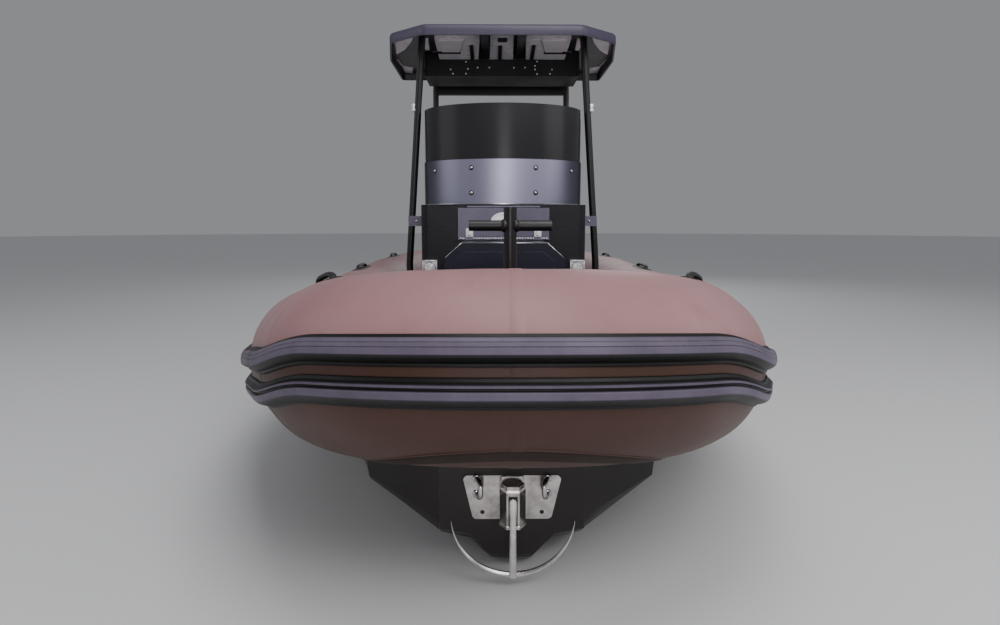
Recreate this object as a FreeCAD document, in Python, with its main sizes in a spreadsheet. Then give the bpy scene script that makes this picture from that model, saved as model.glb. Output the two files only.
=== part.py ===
import FreeCAD, Part
import Sketcher
import math
import os
import re

# Rigid inflatable boat with a blunt bow, a centre console, a hardtop and one outboard.
# Millimetres. The bow points to -Y, +X is port, +Z is up, and z = 0 is the waterline amidships.
os.makedirs("parts", exist_ok=True)
doc = FreeCAD.newDocument("rib_boat")
sheet = doc.addObject("Spreadsheet::Sheet", "Dims")

# Main sizes: length and beam over the collar, height of the roof over the water.
length = 7510
beam = 2800
roof_top_z = 2528

# Rubbing strakes: ribbed rubber profiles glued round the outside of the collar. They slide down
# it round the corners of the bow.
strake_upper_angle = 11.7
strake_lower_angle = -10.6
strake_half_angle = 8.5
strake_slide_angle = 12
strake_flange = 8
strake_groove = 25
strake_ridge = 38
strake_ridges = 3
strake_ribbed_share = 0.76
strake_ridge_slope = 0.22
corner_sections = 15

# Inflatable collar: its centreline is straight runs joined by round bends.
tube_radius = 306
tube_gap = 0.3
bow_y = tube_radius + strake_ridge - length / 2
bow_tube_z = 826
parallel_x = beam / 2 - tube_radius - strake_ridge
corner_x = 0.42 * parallel_x
corner_radius = 572
shoulder_x = 0.935 * parallel_x
shoulder_y = bow_y + 0.162 * length
side_tube_z = 615
shoulder_radius = 3000
parallel_y = 0.1185 * length
parallel_radius = 5000
stern_inset = 505
stern_tube_y = length / 2 - stern_inset
stern_tube_z = 575
cone_length = 460
cone_end_radius = 120
chamber_split_share = 0.98

# Hull below the collar. Its lines run from the stem aft to the transom by powers of the way.
stem_y = bow_y + 250
stem_half = 262
stem_foot_z = 215
stem_side_z = 400
transom_y = stern_tube_y - 150
spread_power = 2.4
rise_power = 8.4
draft = 420
keel_stem_z = 68
keel_half = 78
keel_box_half = 155
keel_box_height = 82
rail_stem_z = 170
rail_half = 365
rail_z = -290
chine_stem_half = 520
chine_stem_z = 406
chine_half = 930
chine_z = -85
flange_inset = 65
flange_drop = 255
flank_run = 170
deck_z = 460
deck_thickness = 40
deck_inset = 100
foredeck_z = 740
foredeck_aft_y = bow_y + 1160
well_half = 450
well_front_y = transom_y - 400
well_z = 200
transom_thickness = 60
deck_aft_y = transom_y - 410

# Bow fittings of polished stainless steel.
plate_thickness = 8
plate_top_half = 179
plate_foot_half = 141
plate_top_z = 375
plate_foot_z = 211
plate_round = 16
eye_x = 128
eye_top_z = 366
eye_foot_z = 306
eye_rod_radius = 10
eye_reach = 48
housing_half = 45
housing_top_z = 354
housing_foot_z = 224
housing_reach = 120
housing_wall = 6
housing_cap_half = 41
housing_cap_height = 23
clip_half = 37
clip_height = 18
clip_thick = 12
anchor_gap = 0.3
anchor_shank_half = 14
anchor_shank_depth = 24
anchor_set_back = 85
anchor_shank_foot_z = 43
anchor_arm_radius = 210
anchor_arm_thick = 16
anchor_tip_thick = 1
anchor_arm_width = 26
anchor_arm_turn = 84

# Samson post on the foredeck.
post_y = bow_y + 600
post_radius = 26
post_top_z = 1330
post_bar_radius = 21
post_bar_half = 163
post_bar_z = 1258
post_foot_radius = 62
post_foot_thick = 12

# Foredeck lid.
lid_gap = 0.3
lid_knuckle_radius = 7
lid_knuckle_inset = 60
lid_bridge_half = 3
foredeck_lid_half = 210
foredeck_lid_front_y = bow_y + 710
foredeck_lid_aft_y = bow_y + 1080
foredeck_lid_thick = 22

# Moulded locker before the console.
console_front_y = foredeck_aft_y + 1141
locker_front_y = console_front_y - 400
locker_half = 355
locker_shoulder_z = 1060
locker_top_half = 257
locker_top_z = 1148

# Centre console with its front hatch, aluminium band, tinted screen and helm.
console_aft_y = console_front_y + 910
console_half = 538
console_top_z = 1378
console_round = 45
console_toe_recess = 60
console_toe_height = 300
hatch_half = 295
hatch_foot_z = 1152
hatch_top_z = 1371
hatch_thick = 18
hatch_lip_height = 18
hatch_lip_reach = 8
hatch_latch_x = 221
hatch_latch_half = 24
hatch_latch_height = 74
hatch_latch_thick = 14
inspection_radius = 83
inspection_thick = 10
inspection_z = 1254
coaming_half = 540
coaming_nose = 380
coaming_y = console_front_y + 385
coaming_aft_y = console_front_y + 850
coaming_top_z = 1660
band_foot_z = 1382
band_top_z = 1670
band_thick = 5
screen_top_z = 2020
screen_thick = 8
screen_leg_y = console_front_y + 710
lamp_x = 480
lamp_z = 974
lamp_half = 48
lamp_depth = 34
lamp_lens_radius = 40
lamp_lens_depth = 8
rail_x = 375
rail_radius = 12
rail_front_y = console_front_y + 590
rail_aft_y = console_front_y + 730
rail_top_z = 1870
rail_bend_radius = 45

# Helm: wheel, its hub and the throttle, on the console's aft face.
wheel_z = 1370
wheel_radius = 190
wheel_rim_radius = 15
wheel_tilt = 25
wheel_reach = 110
wheel_foot_drop = 130
wheel_boss_radius = 38
wheel_boss_depth = 26
wheel_spokes = 3
wheel_spoke_width = 34
wheel_spoke_thick = 8
helm_hub_radius = 30
helm_hub_gap = 14
helm_hub_root = 60
throttle_x = 300
throttle_half = 45
throttle_depth = 55
throttle_foot_drop = 190
throttle_height = 130
throttle_lever_radius = 9
throttle_lever_run = 60
throttle_lever_rise = 150
throttle_grip_radius = 16

# Hardtop: a folded panel on four posts, with two beams, a crossbar and an overhead box.
roof_depth = 75
roof_skin = 14
roof_front_y = console_front_y + 100
roof_front_half = 598
roof_corner_y = console_front_y + 340
roof_corner_half = 752
roof_side_y = console_front_y + 870
roof_side_half = 832
roof_aft_y = console_front_y + 1500
roof_aft_half = 840
post_bend_radius = 1200
post_ring_radius = 29
post_ring_height = 40
pipe_radius = 24
front_post_y = console_front_y + 400
front_post_foot_x = 572
front_post_knee_x = 677
front_post_knee_z = 1000
front_post_top_x = 571
rear_post_y = console_front_y + 1400
rear_post_foot_x = 566
rear_post_top_x = 543
overhead_half = 576
overhead_front_y = console_front_y + 790
overhead_aft_y = console_front_y + 1170
overhead_drop = 185
crossbar_drop = 174
crossbar_half_height = 39
crossbar_half_depth = 20
beam_x = 122
beam_half = 25
beam_height = 46
beam_inset = 60
bracket_foot_z = 1238
bracket_top_z = 1308
bracket_half_depth = 30

# Helm seat.
seat_front_y = console_front_y + 1670
seat_aft_y = console_front_y + 2110
seat_half = 430
seat_base_z = 1170
cushion_height = 110
cushion_gap = 0.3
cushion_overhang = 25
backrest_thick = 90
backrest_inset = 20
backrest_foot_z = 1370
backrest_top_z = 1760
seat_rail_radius = 19
seat_rail_drop = 60
seat_rail_bend_radius = 80

# Grab handles along the tops of the collar, at distances along its side from the corner bend.
handle_forward = 163
handle_middle = 0.366 * length
handle_aft = 0.606 * length
handle_length = 280
handle_foot_run = 30
handle_rise = 42
handle_radius = 10
handle_sink = 4
handle_angle = 80
handle_bend_radius = 30

# Outboard motor on the transom.
tilt_y = transom_y + 85
tilt_z = 510
tilt_pin_radius = 18
pin_gap = 0.05
bracket_half = 165
bracket_cheek = 22
bracket_rim = 30
bracket_plate_thick = 16
bracket_plate_drop = 60
swivel_half = 105
swivel_wall = 26
swivel_web_drop = 150
knuckle_wall = 20
steer_y = tilt_y + 105
steer_pin_radius = 30
swivel_foot_z = 40
swivel_top_z = 535
leg_half = 62
leg_front_y = steer_y + 55
leg_aft_y = steer_y + 270
leg_top_z = 680
leg_gap = 6
leg_arm_depth = 60
leg_shell = 40
plate_z = -430
plate_half = 130
plate_reach = 160
plate_thick = 12
prop_z = -630
gearcase_radius = 58
gearcase_aft_y = steer_y + 350
skeg_z = -860
skeg_half = 8
cowl_z = 680
cowl_top_z = 1450
cowl_half = 280
cowl_front_y = steer_y - 140
cowl_aft_y = steer_y + 590
hub_radius = 50
hub_length = 120
hub_gap = 6
prop_blades = 3
prop_shaft_radius = 14
blade_root_radius = 40
blade_tip_radius = 185
blade_chord = 130
blade_pitch_angle = 36
blade_thick = 8

SIZES = {name: value for name, value in list(globals().items()) if isinstance(value, (int, float))}
for row, (name, number) in enumerate(SIZES.items(), start=1):
    sheet.set("A%d" % row, name)
    sheet.set("B%d" % row, str(number))
    sheet.setAlias("B%d" % row, name)
doc.recompute()

sub_parts = []
X_AXIS = FreeCAD.Vector(1, 0, 0)
Y_AXIS = FreeCAD.Vector(0, 1, 0)
Z_AXIS = FreeCAD.Vector(0, 0, 1)
ORIGIN = FreeCAD.Vector(0, 0, 0)


def linked(text):
    """The text of a size with each name in it pointing at its cell in the sheet."""
    def cell(word):
        return "Dims." + word.group() if word.group() in SIZES else word.group()
    return re.sub(r"[A-Za-z_]\w*", cell, text)


def size(text):
    """The value of a size, read from the sheet."""
    return float(sheet.evalExpression(linked(text)))


def point(x, y, z):
    return FreeCAD.Vector(size(x), size(y), size(z))


def bind(feature, prop, text):
    feature.setExpression(prop, linked(text))


def place(feature, x, y, z):
    for letter, text in zip("xyz", (x, y, z)):
        bind(feature, "Placement.Base." + letter, text)


def box(name, low, high):
    """A box between two corners, each given as three sizes."""
    feature = doc.addObject("Part::Box", name)
    for prop, start, end in zip(("Length", "Width", "Height"), low, high):
        bind(feature, prop, "(%s) - (%s)" % (end, start))
    place(feature, *low)
    return feature


def cylinder(name, radius, height, base, direction=Z_AXIS):
    """A cylinder of a radius and height that stands on a point and runs along a direction."""
    feature = doc.addObject("Part::Cylinder", name)
    bind(feature, "Radius", radius)
    bind(feature, "Height", height)
    feature.Placement = FreeCAD.Placement(ORIGIN, FreeCAD.Rotation(Z_AXIS, direction))
    place(feature, *base)
    return feature


def pipe_between(name, radius, start, end):
    """A straight pipe from one point to another, each given as three sizes."""
    run = point(*end) - point(*start)
    feature = cylinder(name, radius, str(run.Length), start, run)
    return feature


def fuse(name, *pieces):
    feature = doc.addObject("Part::MultiFuse", name)
    feature.Shapes = list(pieces)
    feature.Refine = True
    return feature


def cut(name, base, *tools):
    feature = doc.addObject("Part::Cut", name)
    feature.Base = base
    feature.Tool = tools[0] if len(tools) == 1 else fuse(name + "_tools", *tools)
    return feature


def common(name, *pieces):
    feature = doc.addObject("Part::MultiCommon", name)
    feature.Shapes = list(pieces)
    return feature


def mirrored(name, piece):
    feature = doc.addObject("Part::Mirroring", name)
    feature.Source = piece
    feature.Normal = X_AXIS
    return feature


def together(name, *pieces):
    """Several solids that don't touch, as one sub-part."""
    feature = doc.addObject("Part::Compound", name)
    feature.Links = list(pieces)
    return feature


def pair(name, piece):
    """A piece and its mirror image on the other side of the boat."""
    return together(name, piece, mirrored(name + "_mirror", piece))


def solid_of(name, shape):
    feature = doc.addObject("Part::Feature", name)
    feature.Shape = shape
    return feature


def sub_part(feature):
    sub_parts.append(feature)
    return feature


def sketch(body, name, role, corners, offset="0"):
    """A closed outline of straight sides on one of the body's planes, its corners bound to sizes."""
    feature = body.newObject("Sketcher::SketchObject", name)
    plane = [datum for datum in body.Origin.OriginFeatures if datum.Role == role][0]
    feature.AttachmentSupport = [(plane, "")]
    feature.MapMode = "FlatFace"
    bind(feature, "AttachmentOffset.Base.z", offset)
    places = [FreeCAD.Vector(size(across), size(up), 0) for across, up in corners]
    count = len(corners)
    for number, start in enumerate(places):
        feature.addGeometry(Part.LineSegment(start, places[(number + 1) % count]))
    for number in range(count):
        feature.addConstraint(Sketcher.Constraint("Coincident", number, 2, (number + 1) % count, 1))
    for number, (across, up) in enumerate(corners):
        for kind, text in (("DistanceX", across), ("DistanceY", up)):
            index = feature.addConstraint(Sketcher.Constraint(kind, -1, 1, number, 1, size(text)))
            bind(feature, "Constraints[%d]" % index, text)
    return feature


def pad(body, name, profile, length, reverse=False, symmetric=False):
    feature = body.newObject("PartDesign::Pad", name)
    feature.Profile = profile
    bind(feature, "Length", length)
    feature.Reversed = reverse
    if symmetric:
        feature.SideType = "Symmetric"
    return feature


def pocket(body, name, profile, depth, reverse=False):
    feature = body.newObject("PartDesign::Pocket", name)
    feature.Profile = profile
    bind(feature, "Length", depth)
    feature.Reversed = reverse
    return feature


def round_edges(body, name, feature, radius, direction):
    """Rounds the straight edges of a feature that run along a direction."""
    doc.recompute()
    picked = []
    for number, edge in enumerate(feature.Shape.Edges, start=1):
        if edge.Curve.TypeId != "Part::GeomLine":
            continue
        if abs(edge.Curve.Direction.dot(direction)) > 0.999:
            picked.append("Edge%d" % number)
    fillet = body.newObject("PartDesign::Fillet", name)
    fillet.Base = (feature, picked)
    bind(fillet, "Radius", radius)
    return fillet


# Collar centreline

def bent_path(points, radii):
    """Steps of a path that runs straight between points and turns the inner ones by round bends.

    A step is ("run", vector) or ("bend", centre, axis, degrees). A bend of radius r that turns by
    an angle a starts r * tan(a / 2) before its point.
    """
    steps = []
    start = points[0]
    for before, corner, after, radius in zip(points, points[1:], points[2:], radii):
        coming = (corner - before).normalize()
        leaving = (after - corner).normalize()
        turn = coming.getAngle(leaving)
        tangent = radius * math.tan(turn / 2)
        axis = coming.cross(leaving).normalize()
        begin = corner - coming * tangent
        steps.append(("run", begin - start))
        steps.append(("bend", begin + axis.cross(coming) * radius, axis, math.degrees(turn)))
        start = corner + leaving * tangent
    steps.append(("run", points[-1] - start))
    return steps


def follow(profile, steps):
    """The solids that a flat profile sweeps along the steps of a path, and the profile at its end."""
    solids = []
    for step in steps:
        moved = profile.copy()
        if step[0] == "run":
            solids.append(profile.extrude(step[1]))
            moved.translate(step[1])
        else:
            kind, centre, axis, degrees = step
            solids.append(profile.revolve(centre, axis, degrees))
            moved.rotate(centre, axis, degrees)
        profile = moved
    return solids, profile


def joined(solids):
    return solids[0].multiFuse(solids[1:]).removeSplitter()


def port_and_starboard(shape):
    return joined([shape, shape.mirror(ORIGIN, X_AXIS)])


path_points = [
    point("0", "bow_y", "bow_tube_z"),
    point("corner_x", "bow_y", "bow_tube_z"),
    point("shoulder_x", "shoulder_y", "side_tube_z"),
    point("parallel_x", "parallel_y", "side_tube_z"),
    point("parallel_x", "stern_tube_y", "stern_tube_z"),
]
path_radii = [size("corner_radius"), size("shoulder_radius"), size("parallel_radius")]
path = bent_path(path_points, path_radii)

bow_steps = path[:2]
side_run = path[4][1]
split = side_run * size("chamber_split_share")
forward_steps = path[2:4] + [("run", split)]
side_steps = path[2:]
aft_steps = [("run", side_run - split)] + path[5:]


def disc(radius):
    """A round profile about the start of the collar's centreline."""
    return Part.Face(Part.Wire(Part.makeCircle(radius, path_points[0], X_AXIS)))


def stern_cone(profile, direction, radius):
    """A cone with a domed end, turned about the line where the collar ends."""
    centre = profile.CenterOfMass
    end_radius = radius * size("cone_end_radius / tube_radius")
    length = size("cone_length")
    side = X_AXIS

    def at(along, out):
        return centre + direction * along + side * out

    slant = math.sqrt(0.5) * end_radius
    outline = [Part.LineSegment(at(0, 0), at(0, radius)),
               Part.LineSegment(at(0, radius), at(length, end_radius)),
               Part.Arc(at(length, end_radius), at(length + slant, slant), at(length + end_radius, 0)),
               Part.LineSegment(at(length + end_radius, 0), at(0, 0))]
    face = Part.Face(Part.Wire([edge.toShape() for edge in outline]))
    return face.revolve(centre, direction, 360)


def along(start, steps, distance):
    """The point and direction at a distance along the steps of a path, from a point on it."""
    place = FreeCAD.Vector(start)
    for step in steps:
        if step[0] == "bend":
            kind, centre, axis, degrees = step
            reach = (place - centre).Length * math.radians(degrees)
        else:
            reach = step[1].Length
        share = min(1, distance / reach)
        if step[0] == "run":
            heading = FreeCAD.Vector(step[1]).normalize()
            place = place + step[1] * share
        else:
            turn = FreeCAD.Rotation(axis, degrees * share)
            place = centre + turn.multVec(place - centre)
            heading = axis.cross(place - centre).normalize()
        distance -= reach
        if distance <= 0:
            break
    return place, heading


def side_centre(y):
    """Half-breadth and height of the collar's centreline at a station y abaft the corner bend."""
    low, high = 0, size("length")
    while high - low > 0.01:
        middle = (low + high) / 2
        if along(corner_end, side_steps, middle)[0].y < y:
            low = middle
        else:
            high = middle
    place, heading = along(corner_end, side_steps, low)
    return place.x, place.z


tube_disc = disc(size("tube_radius"))
bow_solids, corner_disc = follow(tube_disc, bow_steps)
corner_end = corner_disc.CenterOfMass
forward_solids, split_disc = follow(corner_disc, forward_steps)
aft_solids, stern_disc = follow(split_disc, aft_steps)
stern_direction = (path_points[-1] - path_points[-2]).normalize()
aft_solids.append(stern_cone(stern_disc, stern_direction, size("tube_radius")))

bow_chamber = port_and_starboard(joined(bow_solids))
forward_chamber = joined(forward_solids)
aft_chamber = joined(aft_solids)
sub_part(solid_of("collar_bow", bow_chamber))
sub_part(solid_of("collar_forward_port", forward_chamber))
sub_part(solid_of("collar_forward_starboard", forward_chamber.mirror(ORIGIN, X_AXIS)))
sub_part(solid_of("collar_aft_port", aft_chamber))
sub_part(solid_of("collar_aft_starboard", aft_chamber.mirror(ORIGIN, X_AXIS)))

# The seat that the collar needs in the hull and decks, with a small gap all round.
seat_radius = size("tube_radius + tube_gap")
seat_solids, seat_end = follow(disc(seat_radius), path)
seat_solids.append(stern_cone(seat_end, stern_direction, seat_radius))
collar_seat = port_and_starboard(joined(seat_solids))


# Rubbing strakes

def strake_profile(middle_angle):
    """A ribbed profile on the outside of the collar, centred at an angle above its bend plane.

    A point at angle a and height h stands at the centre + (radius + h) (cos a * out + sin a * up).
    """
    centre = path_points[0]
    up = path[1][2]
    out = X_AXIS.cross(up)
    base = size("tube_radius + tube_gap")
    half = math.radians(size("strake_half_angle"))
    middle = math.radians(middle_angle)

    def at(share, height):
        angle = middle + half * share
        return centre + (out * math.cos(angle) + up * math.sin(angle)) * (base + height)

    flange = size("strake_flange")
    groove = size("strake_groove")
    ridge = size("strake_ridge")
    count = int(size("strake_ridges"))
    ribbed = size("strake_ribbed_share")
    slope = size("strake_ridge_slope")
    pitch = 2 * ribbed / count
    outline = [at(-1, 0), at(-1, flange), at(-ribbed, flange)]
    for number in range(count):
        low = -ribbed + number * pitch
        outline.append(at(low, groove))
        outline.append(at(low + slope * pitch, ridge))
        outline.append(at(low + (1 - slope) * pitch, ridge))
    outline += [at(ribbed, groove), at(ribbed, flange), at(1, flange), at(1, 0)]
    edges = [Part.LineSegment(start, end).toShape() for start, end in zip(outline, outline[1:])]
    edges.append(Part.Arc(outline[-1], at(0, 0), outline[0]).toShape())
    return Part.Face(Part.Wire(edges))


def sliding_corner(middle_angle, bow_run, bend):
    """A strake round the corner bend, lofted through profiles that slide down the collar.

    At a share t of the bend the profile's angle has fallen by slide * (1 - cos(pi * t)) / 2.
    """
    kind, centre, axis, degrees = bend
    count = int(size("corner_sections"))
    sections = []
    for number in range(count + 1):
        share = number / count
        fall = size("strake_slide_angle") * (1 - math.cos(math.pi * share)) / 2
        section = strake_profile(middle_angle - fall)
        section.translate(bow_run)
        section.rotate(centre, axis, degrees * share)
        sections.append(section)
    wires = [section.OuterWire for section in sections]
    return Part.makeLoft(wires, True, False), sections[-1]


for name in ("strake_upper", "strake_lower"):
    bow_angle = size(name + "_angle")
    bow_profile = strake_profile(bow_angle)
    corner, side_profile = sliding_corner(bow_angle, path[0][1], path[1])
    side_solids, end = follow(side_profile, side_steps)
    strake_solids = [bow_profile.extrude(path[0][1]), corner] + side_solids
    sub_part(solid_of(name, port_and_starboard(joined(strake_solids))))


# Hull: a loft through transverse sections, hollowed by the collar's seat

def section_wire(y, corners):
    """A closed section at station y through (half-breadth, height) corners and their mirror images."""
    ring = [FreeCAD.Vector(x, y, z) for x, z in corners]
    ring += [FreeCAD.Vector(-x, y, z) for x, z in reversed(corners)]
    return Part.makePolygon(ring + ring[:1])


def hull_line(y, at_stem, aft, power):
    """A line's value at station y: aft + (stem - aft) * (1 - t) ^ power, t the share of the way aft."""
    share = (y - size("stem_y")) / size("transom_y - stem_y")
    return size(aft) + (size(at_stem) - size(aft)) * (1 - share) ** size(power)


def hull_corners(y):
    """Corners of the section at station y: keel, keel box, inner rail, chine, flange and top."""
    keel = hull_line(y, "keel_stem_z", "-draft", "rise_power")
    tube_x, tube_z = side_centre(y)
    flange_x = tube_x - size("flange_inset")
    return [
        (size("keel_half"), keel),
        (size("keel_box_half"), keel + size("keel_box_height")),
        (hull_line(y, "stem_half", "rail_half", "spread_power"),
         hull_line(y, "rail_stem_z", "rail_z", "rise_power")),
        (hull_line(y, "chine_stem_half", "chine_half", "spread_power"),
         hull_line(y, "chine_stem_z", "chine_z", "rise_power")),
        (flange_x, tube_z - size("flange_drop")),
        (flange_x, hull_top),
    ]


hull_top = size("foredeck_z - deck_thickness")
stem_half = size("stem_half")
stem_corners = [
    (size("keel_half"), size("keel_stem_z")),
    (size("keel_box_half"), size("keel_stem_z + keel_box_height")),
    (stem_half, size("rail_stem_z")),
    (stem_half, size("stem_foot_z")),
    (stem_half, size("stem_side_z")),
    (stem_half, hull_top),
]
flank_y = size("stem_y + flank_run")
body_run = size("transom_y") - flank_y
stations = [flank_y + share * body_run for share in (0, 0.05, 0.12, 0.22, 0.36, 0.55, 0.77, 1)]
body_wires = [section_wire(y, hull_corners(y)) for y in stations]
stem_wire = section_wire(size("stem_y"), stem_corners)
hull_flanks = solid_of("hull_flanks", Part.makeLoft([stem_wire, body_wires[0]], True, True))
hull_body = solid_of("hull_body", Part.makeLoft(body_wires, True, False))
hull_loft = fuse("hull_loft", hull_flanks, hull_body)
seat_tool = solid_of("collar_seat", collar_seat)
over_deck = box("over_deck", ("-beam", "foredeck_aft_y", "deck_z - deck_thickness"),
                ("beam", "length / 2", "2 * foredeck_z"))
motor_well = box("motor_well", ("-well_half", "well_front_y", "well_z"),
                 ("well_half", "transom_y - transom_thickness", "deck_z"))
sub_part(cut("hull", hull_loft, seat_tool, over_deck, motor_well))

deck_panel = box("deck_panel", ("deck_inset - parallel_x", "foredeck_aft_y", "deck_z - deck_thickness"),
                 ("parallel_x - deck_inset", "deck_aft_y", "deck_z"))
sub_part(cut("cockpit_deck", deck_panel, seat_tool))
foredeck_front = size("stem_y + deck_thickness / 2")
foredeck_run = size("foredeck_aft_y") - foredeck_front
foredeck_stations = [foredeck_front + share * foredeck_run for share in (0, 0.1, 0.25, 0.4, 0.6, 0.8, 1)]
foredeck_outline = section_wire(0, [(side_centre(y)[0], y) for y in foredeck_stations])
foredeck_outline.rotate(ORIGIN, X_AXIS, -90)
foredeck_sheet = Part.Face(foredeck_outline).extrude(Z_AXIS * size("deck_thickness"))
foredeck_sheet.translate(Z_AXIS * size("foredeck_z - deck_thickness"))
foredeck_panel = solid_of("foredeck_panel", foredeck_sheet)
sub_part(cut("foredeck", foredeck_panel, seat_tool))

# Bow plate with its two towing eyes
bow_plate = doc.addObject("PartDesign::Body", "bow_plate")
plate_sketch = sketch(bow_plate, "bow_plate_outline", "XZ_Plane", [
    ("-plate_foot_half", "plate_foot_z"),
    ("plate_foot_half", "plate_foot_z"),
    ("plate_top_half", "plate_top_z"),
    ("-plate_top_half", "plate_top_z"),
], offset="-stem_y")
plate_pad = pad(bow_plate, "bow_plate_sheet", plate_sketch, "plate_thickness")
plate_round = round_edges(bow_plate, "bow_plate_corners", plate_pad, "plate_round", Y_AXIS)
sub_part(bow_plate)

eye_bar = cylinder("eye_bar", "eye_rod_radius", "eye_top_z - eye_foot_z",
                   ("eye_x", "stem_y - plate_thickness - eye_reach", "eye_foot_z"))
eye_top = cylinder("eye_top", "eye_rod_radius", "eye_reach",
                   ("eye_x", "stem_y - plate_thickness - eye_reach", "eye_top_z"), Y_AXIS)
eye_foot = cylinder("eye_foot", "eye_rod_radius", "eye_reach",
                    ("eye_x", "stem_y - plate_thickness - eye_reach", "eye_foot_z"), Y_AXIS)
knee_top = doc.addObject("Part::Sphere", "eye_knee_top")
bind(knee_top, "Radius", "eye_rod_radius")
place(knee_top, "eye_x", "stem_y - plate_thickness - eye_reach", "eye_top_z")
knee_foot = doc.addObject("Part::Sphere", "eye_knee_foot")
bind(knee_foot, "Radius", "eye_rod_radius")
place(knee_foot, "eye_x", "stem_y - plate_thickness - eye_reach", "eye_foot_z")
sub_part(pair("towing_eyes", fuse("towing_eye", eye_bar, eye_top, eye_foot, knee_top, knee_foot)))

# Anchor housing: a hexagonal tube on the plate, open at its foot, with the anchor's shank inside
plate_face = "stem_y - plate_thickness"
housing_block = doc.addObject("Part::Prism", "housing_block")
housing_block.Polygon = 6
bind(housing_block, "Circumradius", "housing_half")
bind(housing_block, "Height", "housing_top_z - housing_foot_z")
place(housing_block, "0", plate_face + " - housing_reach + housing_half", "housing_foot_z")
housing_neck = box("housing_neck",
                   ("-housing_half + housing_wall", plate_face + " - housing_reach + housing_half",
                    "housing_foot_z"),
                   ("housing_half - housing_wall", plate_face, "housing_top_z"))
anchor_y = plate_face + " - anchor_set_back"
housing_cap = doc.addObject("Part::Prism", "housing_cap")
housing_cap.Polygon = 6
bind(housing_cap, "Circumradius", "housing_cap_half")
bind(housing_cap, "Height", "housing_cap_height")
place(housing_cap, "0", plate_face + " - housing_reach + housing_half", "housing_top_z")
housing_clip = box("housing_clip", ("-clip_half", plate_face + " - clip_thick", "plate_top_z - clip_height"),
                   ("clip_half", plate_face, "plate_top_z"))
housing_bore = box("housing_bore",
                   ("-anchor_shank_half - anchor_gap", anchor_y + " - anchor_shank_depth / 2 - anchor_gap",
                    "housing_foot_z - 1"),
                   ("anchor_shank_half + anchor_gap", anchor_y + " + anchor_shank_depth / 2 + anchor_gap",
                    "housing_top_z - housing_wall"))
housing_body = fuse("housing_body", housing_block, housing_neck, housing_cap)
sub_part(together("anchor_housing", cut("housing_bored", housing_body, housing_bore), housing_clip))

# Anchor: an upright shank and two arms that curve up from the crown
shank = box("anchor_shank",
            ("-anchor_shank_half", anchor_y + " - anchor_shank_depth / 2", "anchor_shank_foot_z"),
            ("anchor_shank_half", anchor_y + " + anchor_shank_depth / 2", "housing_top_z - 2 * housing_wall"))


def anchor_arms():
    """A crescent that is thickest at the crown and runs out to a point at each tip."""
    radius = size("anchor_arm_radius")
    thick = size("anchor_arm_thick") / 2
    tip = size("anchor_tip_thick") / 2
    turn = math.radians(size("anchor_arm_turn"))
    centre = FreeCAD.Vector(0, size(anchor_y) + size("anchor_arm_width") / 2,
                            size("anchor_shank_foot_z") + radius)

    def rim(angle, out):
        return centre + FreeCAD.Vector(math.sin(angle), 0, -math.cos(angle)) * (radius + out)

    outer = Part.Arc(rim(-turn, tip), rim(0, thick), rim(turn, tip)).toShape()
    inner = Part.Arc(rim(turn, -tip), rim(0, -thick), rim(-turn, -tip)).toShape()
    tips = [Part.LineSegment(rim(turn, tip), rim(turn, -tip)).toShape(),
            Part.LineSegment(rim(-turn, -tip), rim(-turn, tip)).toShape()]
    face = Part.Face(Part.Wire([outer, tips[0], inner, tips[1]]))
    return face.extrude(Y_AXIS * -size("anchor_arm_width"))


arms = solid_of("anchor_arms", anchor_arms())
sub_part(fuse("anchor", shank, arms))

# Samson post with its crossbar
post_stem = cylinder("post_stem", "post_radius", "post_top_z - foredeck_z", ("0", "post_y", "foredeck_z"))
post_bar = cylinder("post_bar", "post_bar_radius", "2 * post_bar_half",
                    ("-post_bar_half", "post_y", "post_bar_z"), X_AXIS)
post_foot = cylinder("post_foot", "post_foot_radius", "post_foot_thick", ("0", "post_y", "foredeck_z"))
sub_part(fuse("samson_post", post_stem, post_bar, post_foot))

# Foredeck locker lid, hinged at its front edge
lid_leaf = box("foredeck_lid_leaf",
               ("-foredeck_lid_half", "foredeck_lid_front_y + 2 * lid_knuckle_radius",
                "foredeck_z + lid_gap"),
               ("foredeck_lid_half", "foredeck_lid_aft_y", "foredeck_z + lid_gap + foredeck_lid_thick"))
lid_knuckle = cylinder("foredeck_lid_knuckle", "lid_knuckle_radius",
                       "2 * foredeck_lid_half - 2 * lid_knuckle_inset",
                       ("lid_knuckle_inset - foredeck_lid_half", "foredeck_lid_front_y + lid_knuckle_radius",
                        "foredeck_z + lid_gap + lid_knuckle_radius"), X_AXIS)
lid_bridge = box("foredeck_lid_bridge",
                 ("lid_knuckle_inset - foredeck_lid_half", "foredeck_lid_front_y + lid_knuckle_radius",
                  "foredeck_z + lid_gap + lid_knuckle_radius - lid_bridge_half"),
                 ("foredeck_lid_half - lid_knuckle_inset",
                  "foredeck_lid_front_y + 2 * lid_knuckle_radius + 1",
                  "foredeck_z + lid_gap + lid_knuckle_radius + lid_bridge_half"))
sub_part(fuse("foredeck_lid", lid_leaf, lid_knuckle, lid_bridge))

# Moulded locker before the console
front_locker = doc.addObject("PartDesign::Body", "front_locker")
locker_sketch = sketch(front_locker, "front_locker_outline", "XZ_Plane", [
    ("-locker_half", "deck_z"),
    ("locker_half", "deck_z"),
    ("locker_half", "locker_shoulder_z"),
    ("locker_top_half", "locker_top_z"),
    ("-locker_top_half", "locker_top_z"),
    ("-locker_half", "locker_shoulder_z"),
], offset="-console_front_y")
locker_pad = pad(front_locker, "front_locker_block", locker_sketch, "console_front_y - locker_front_y")
sub_part(front_locker)

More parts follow.
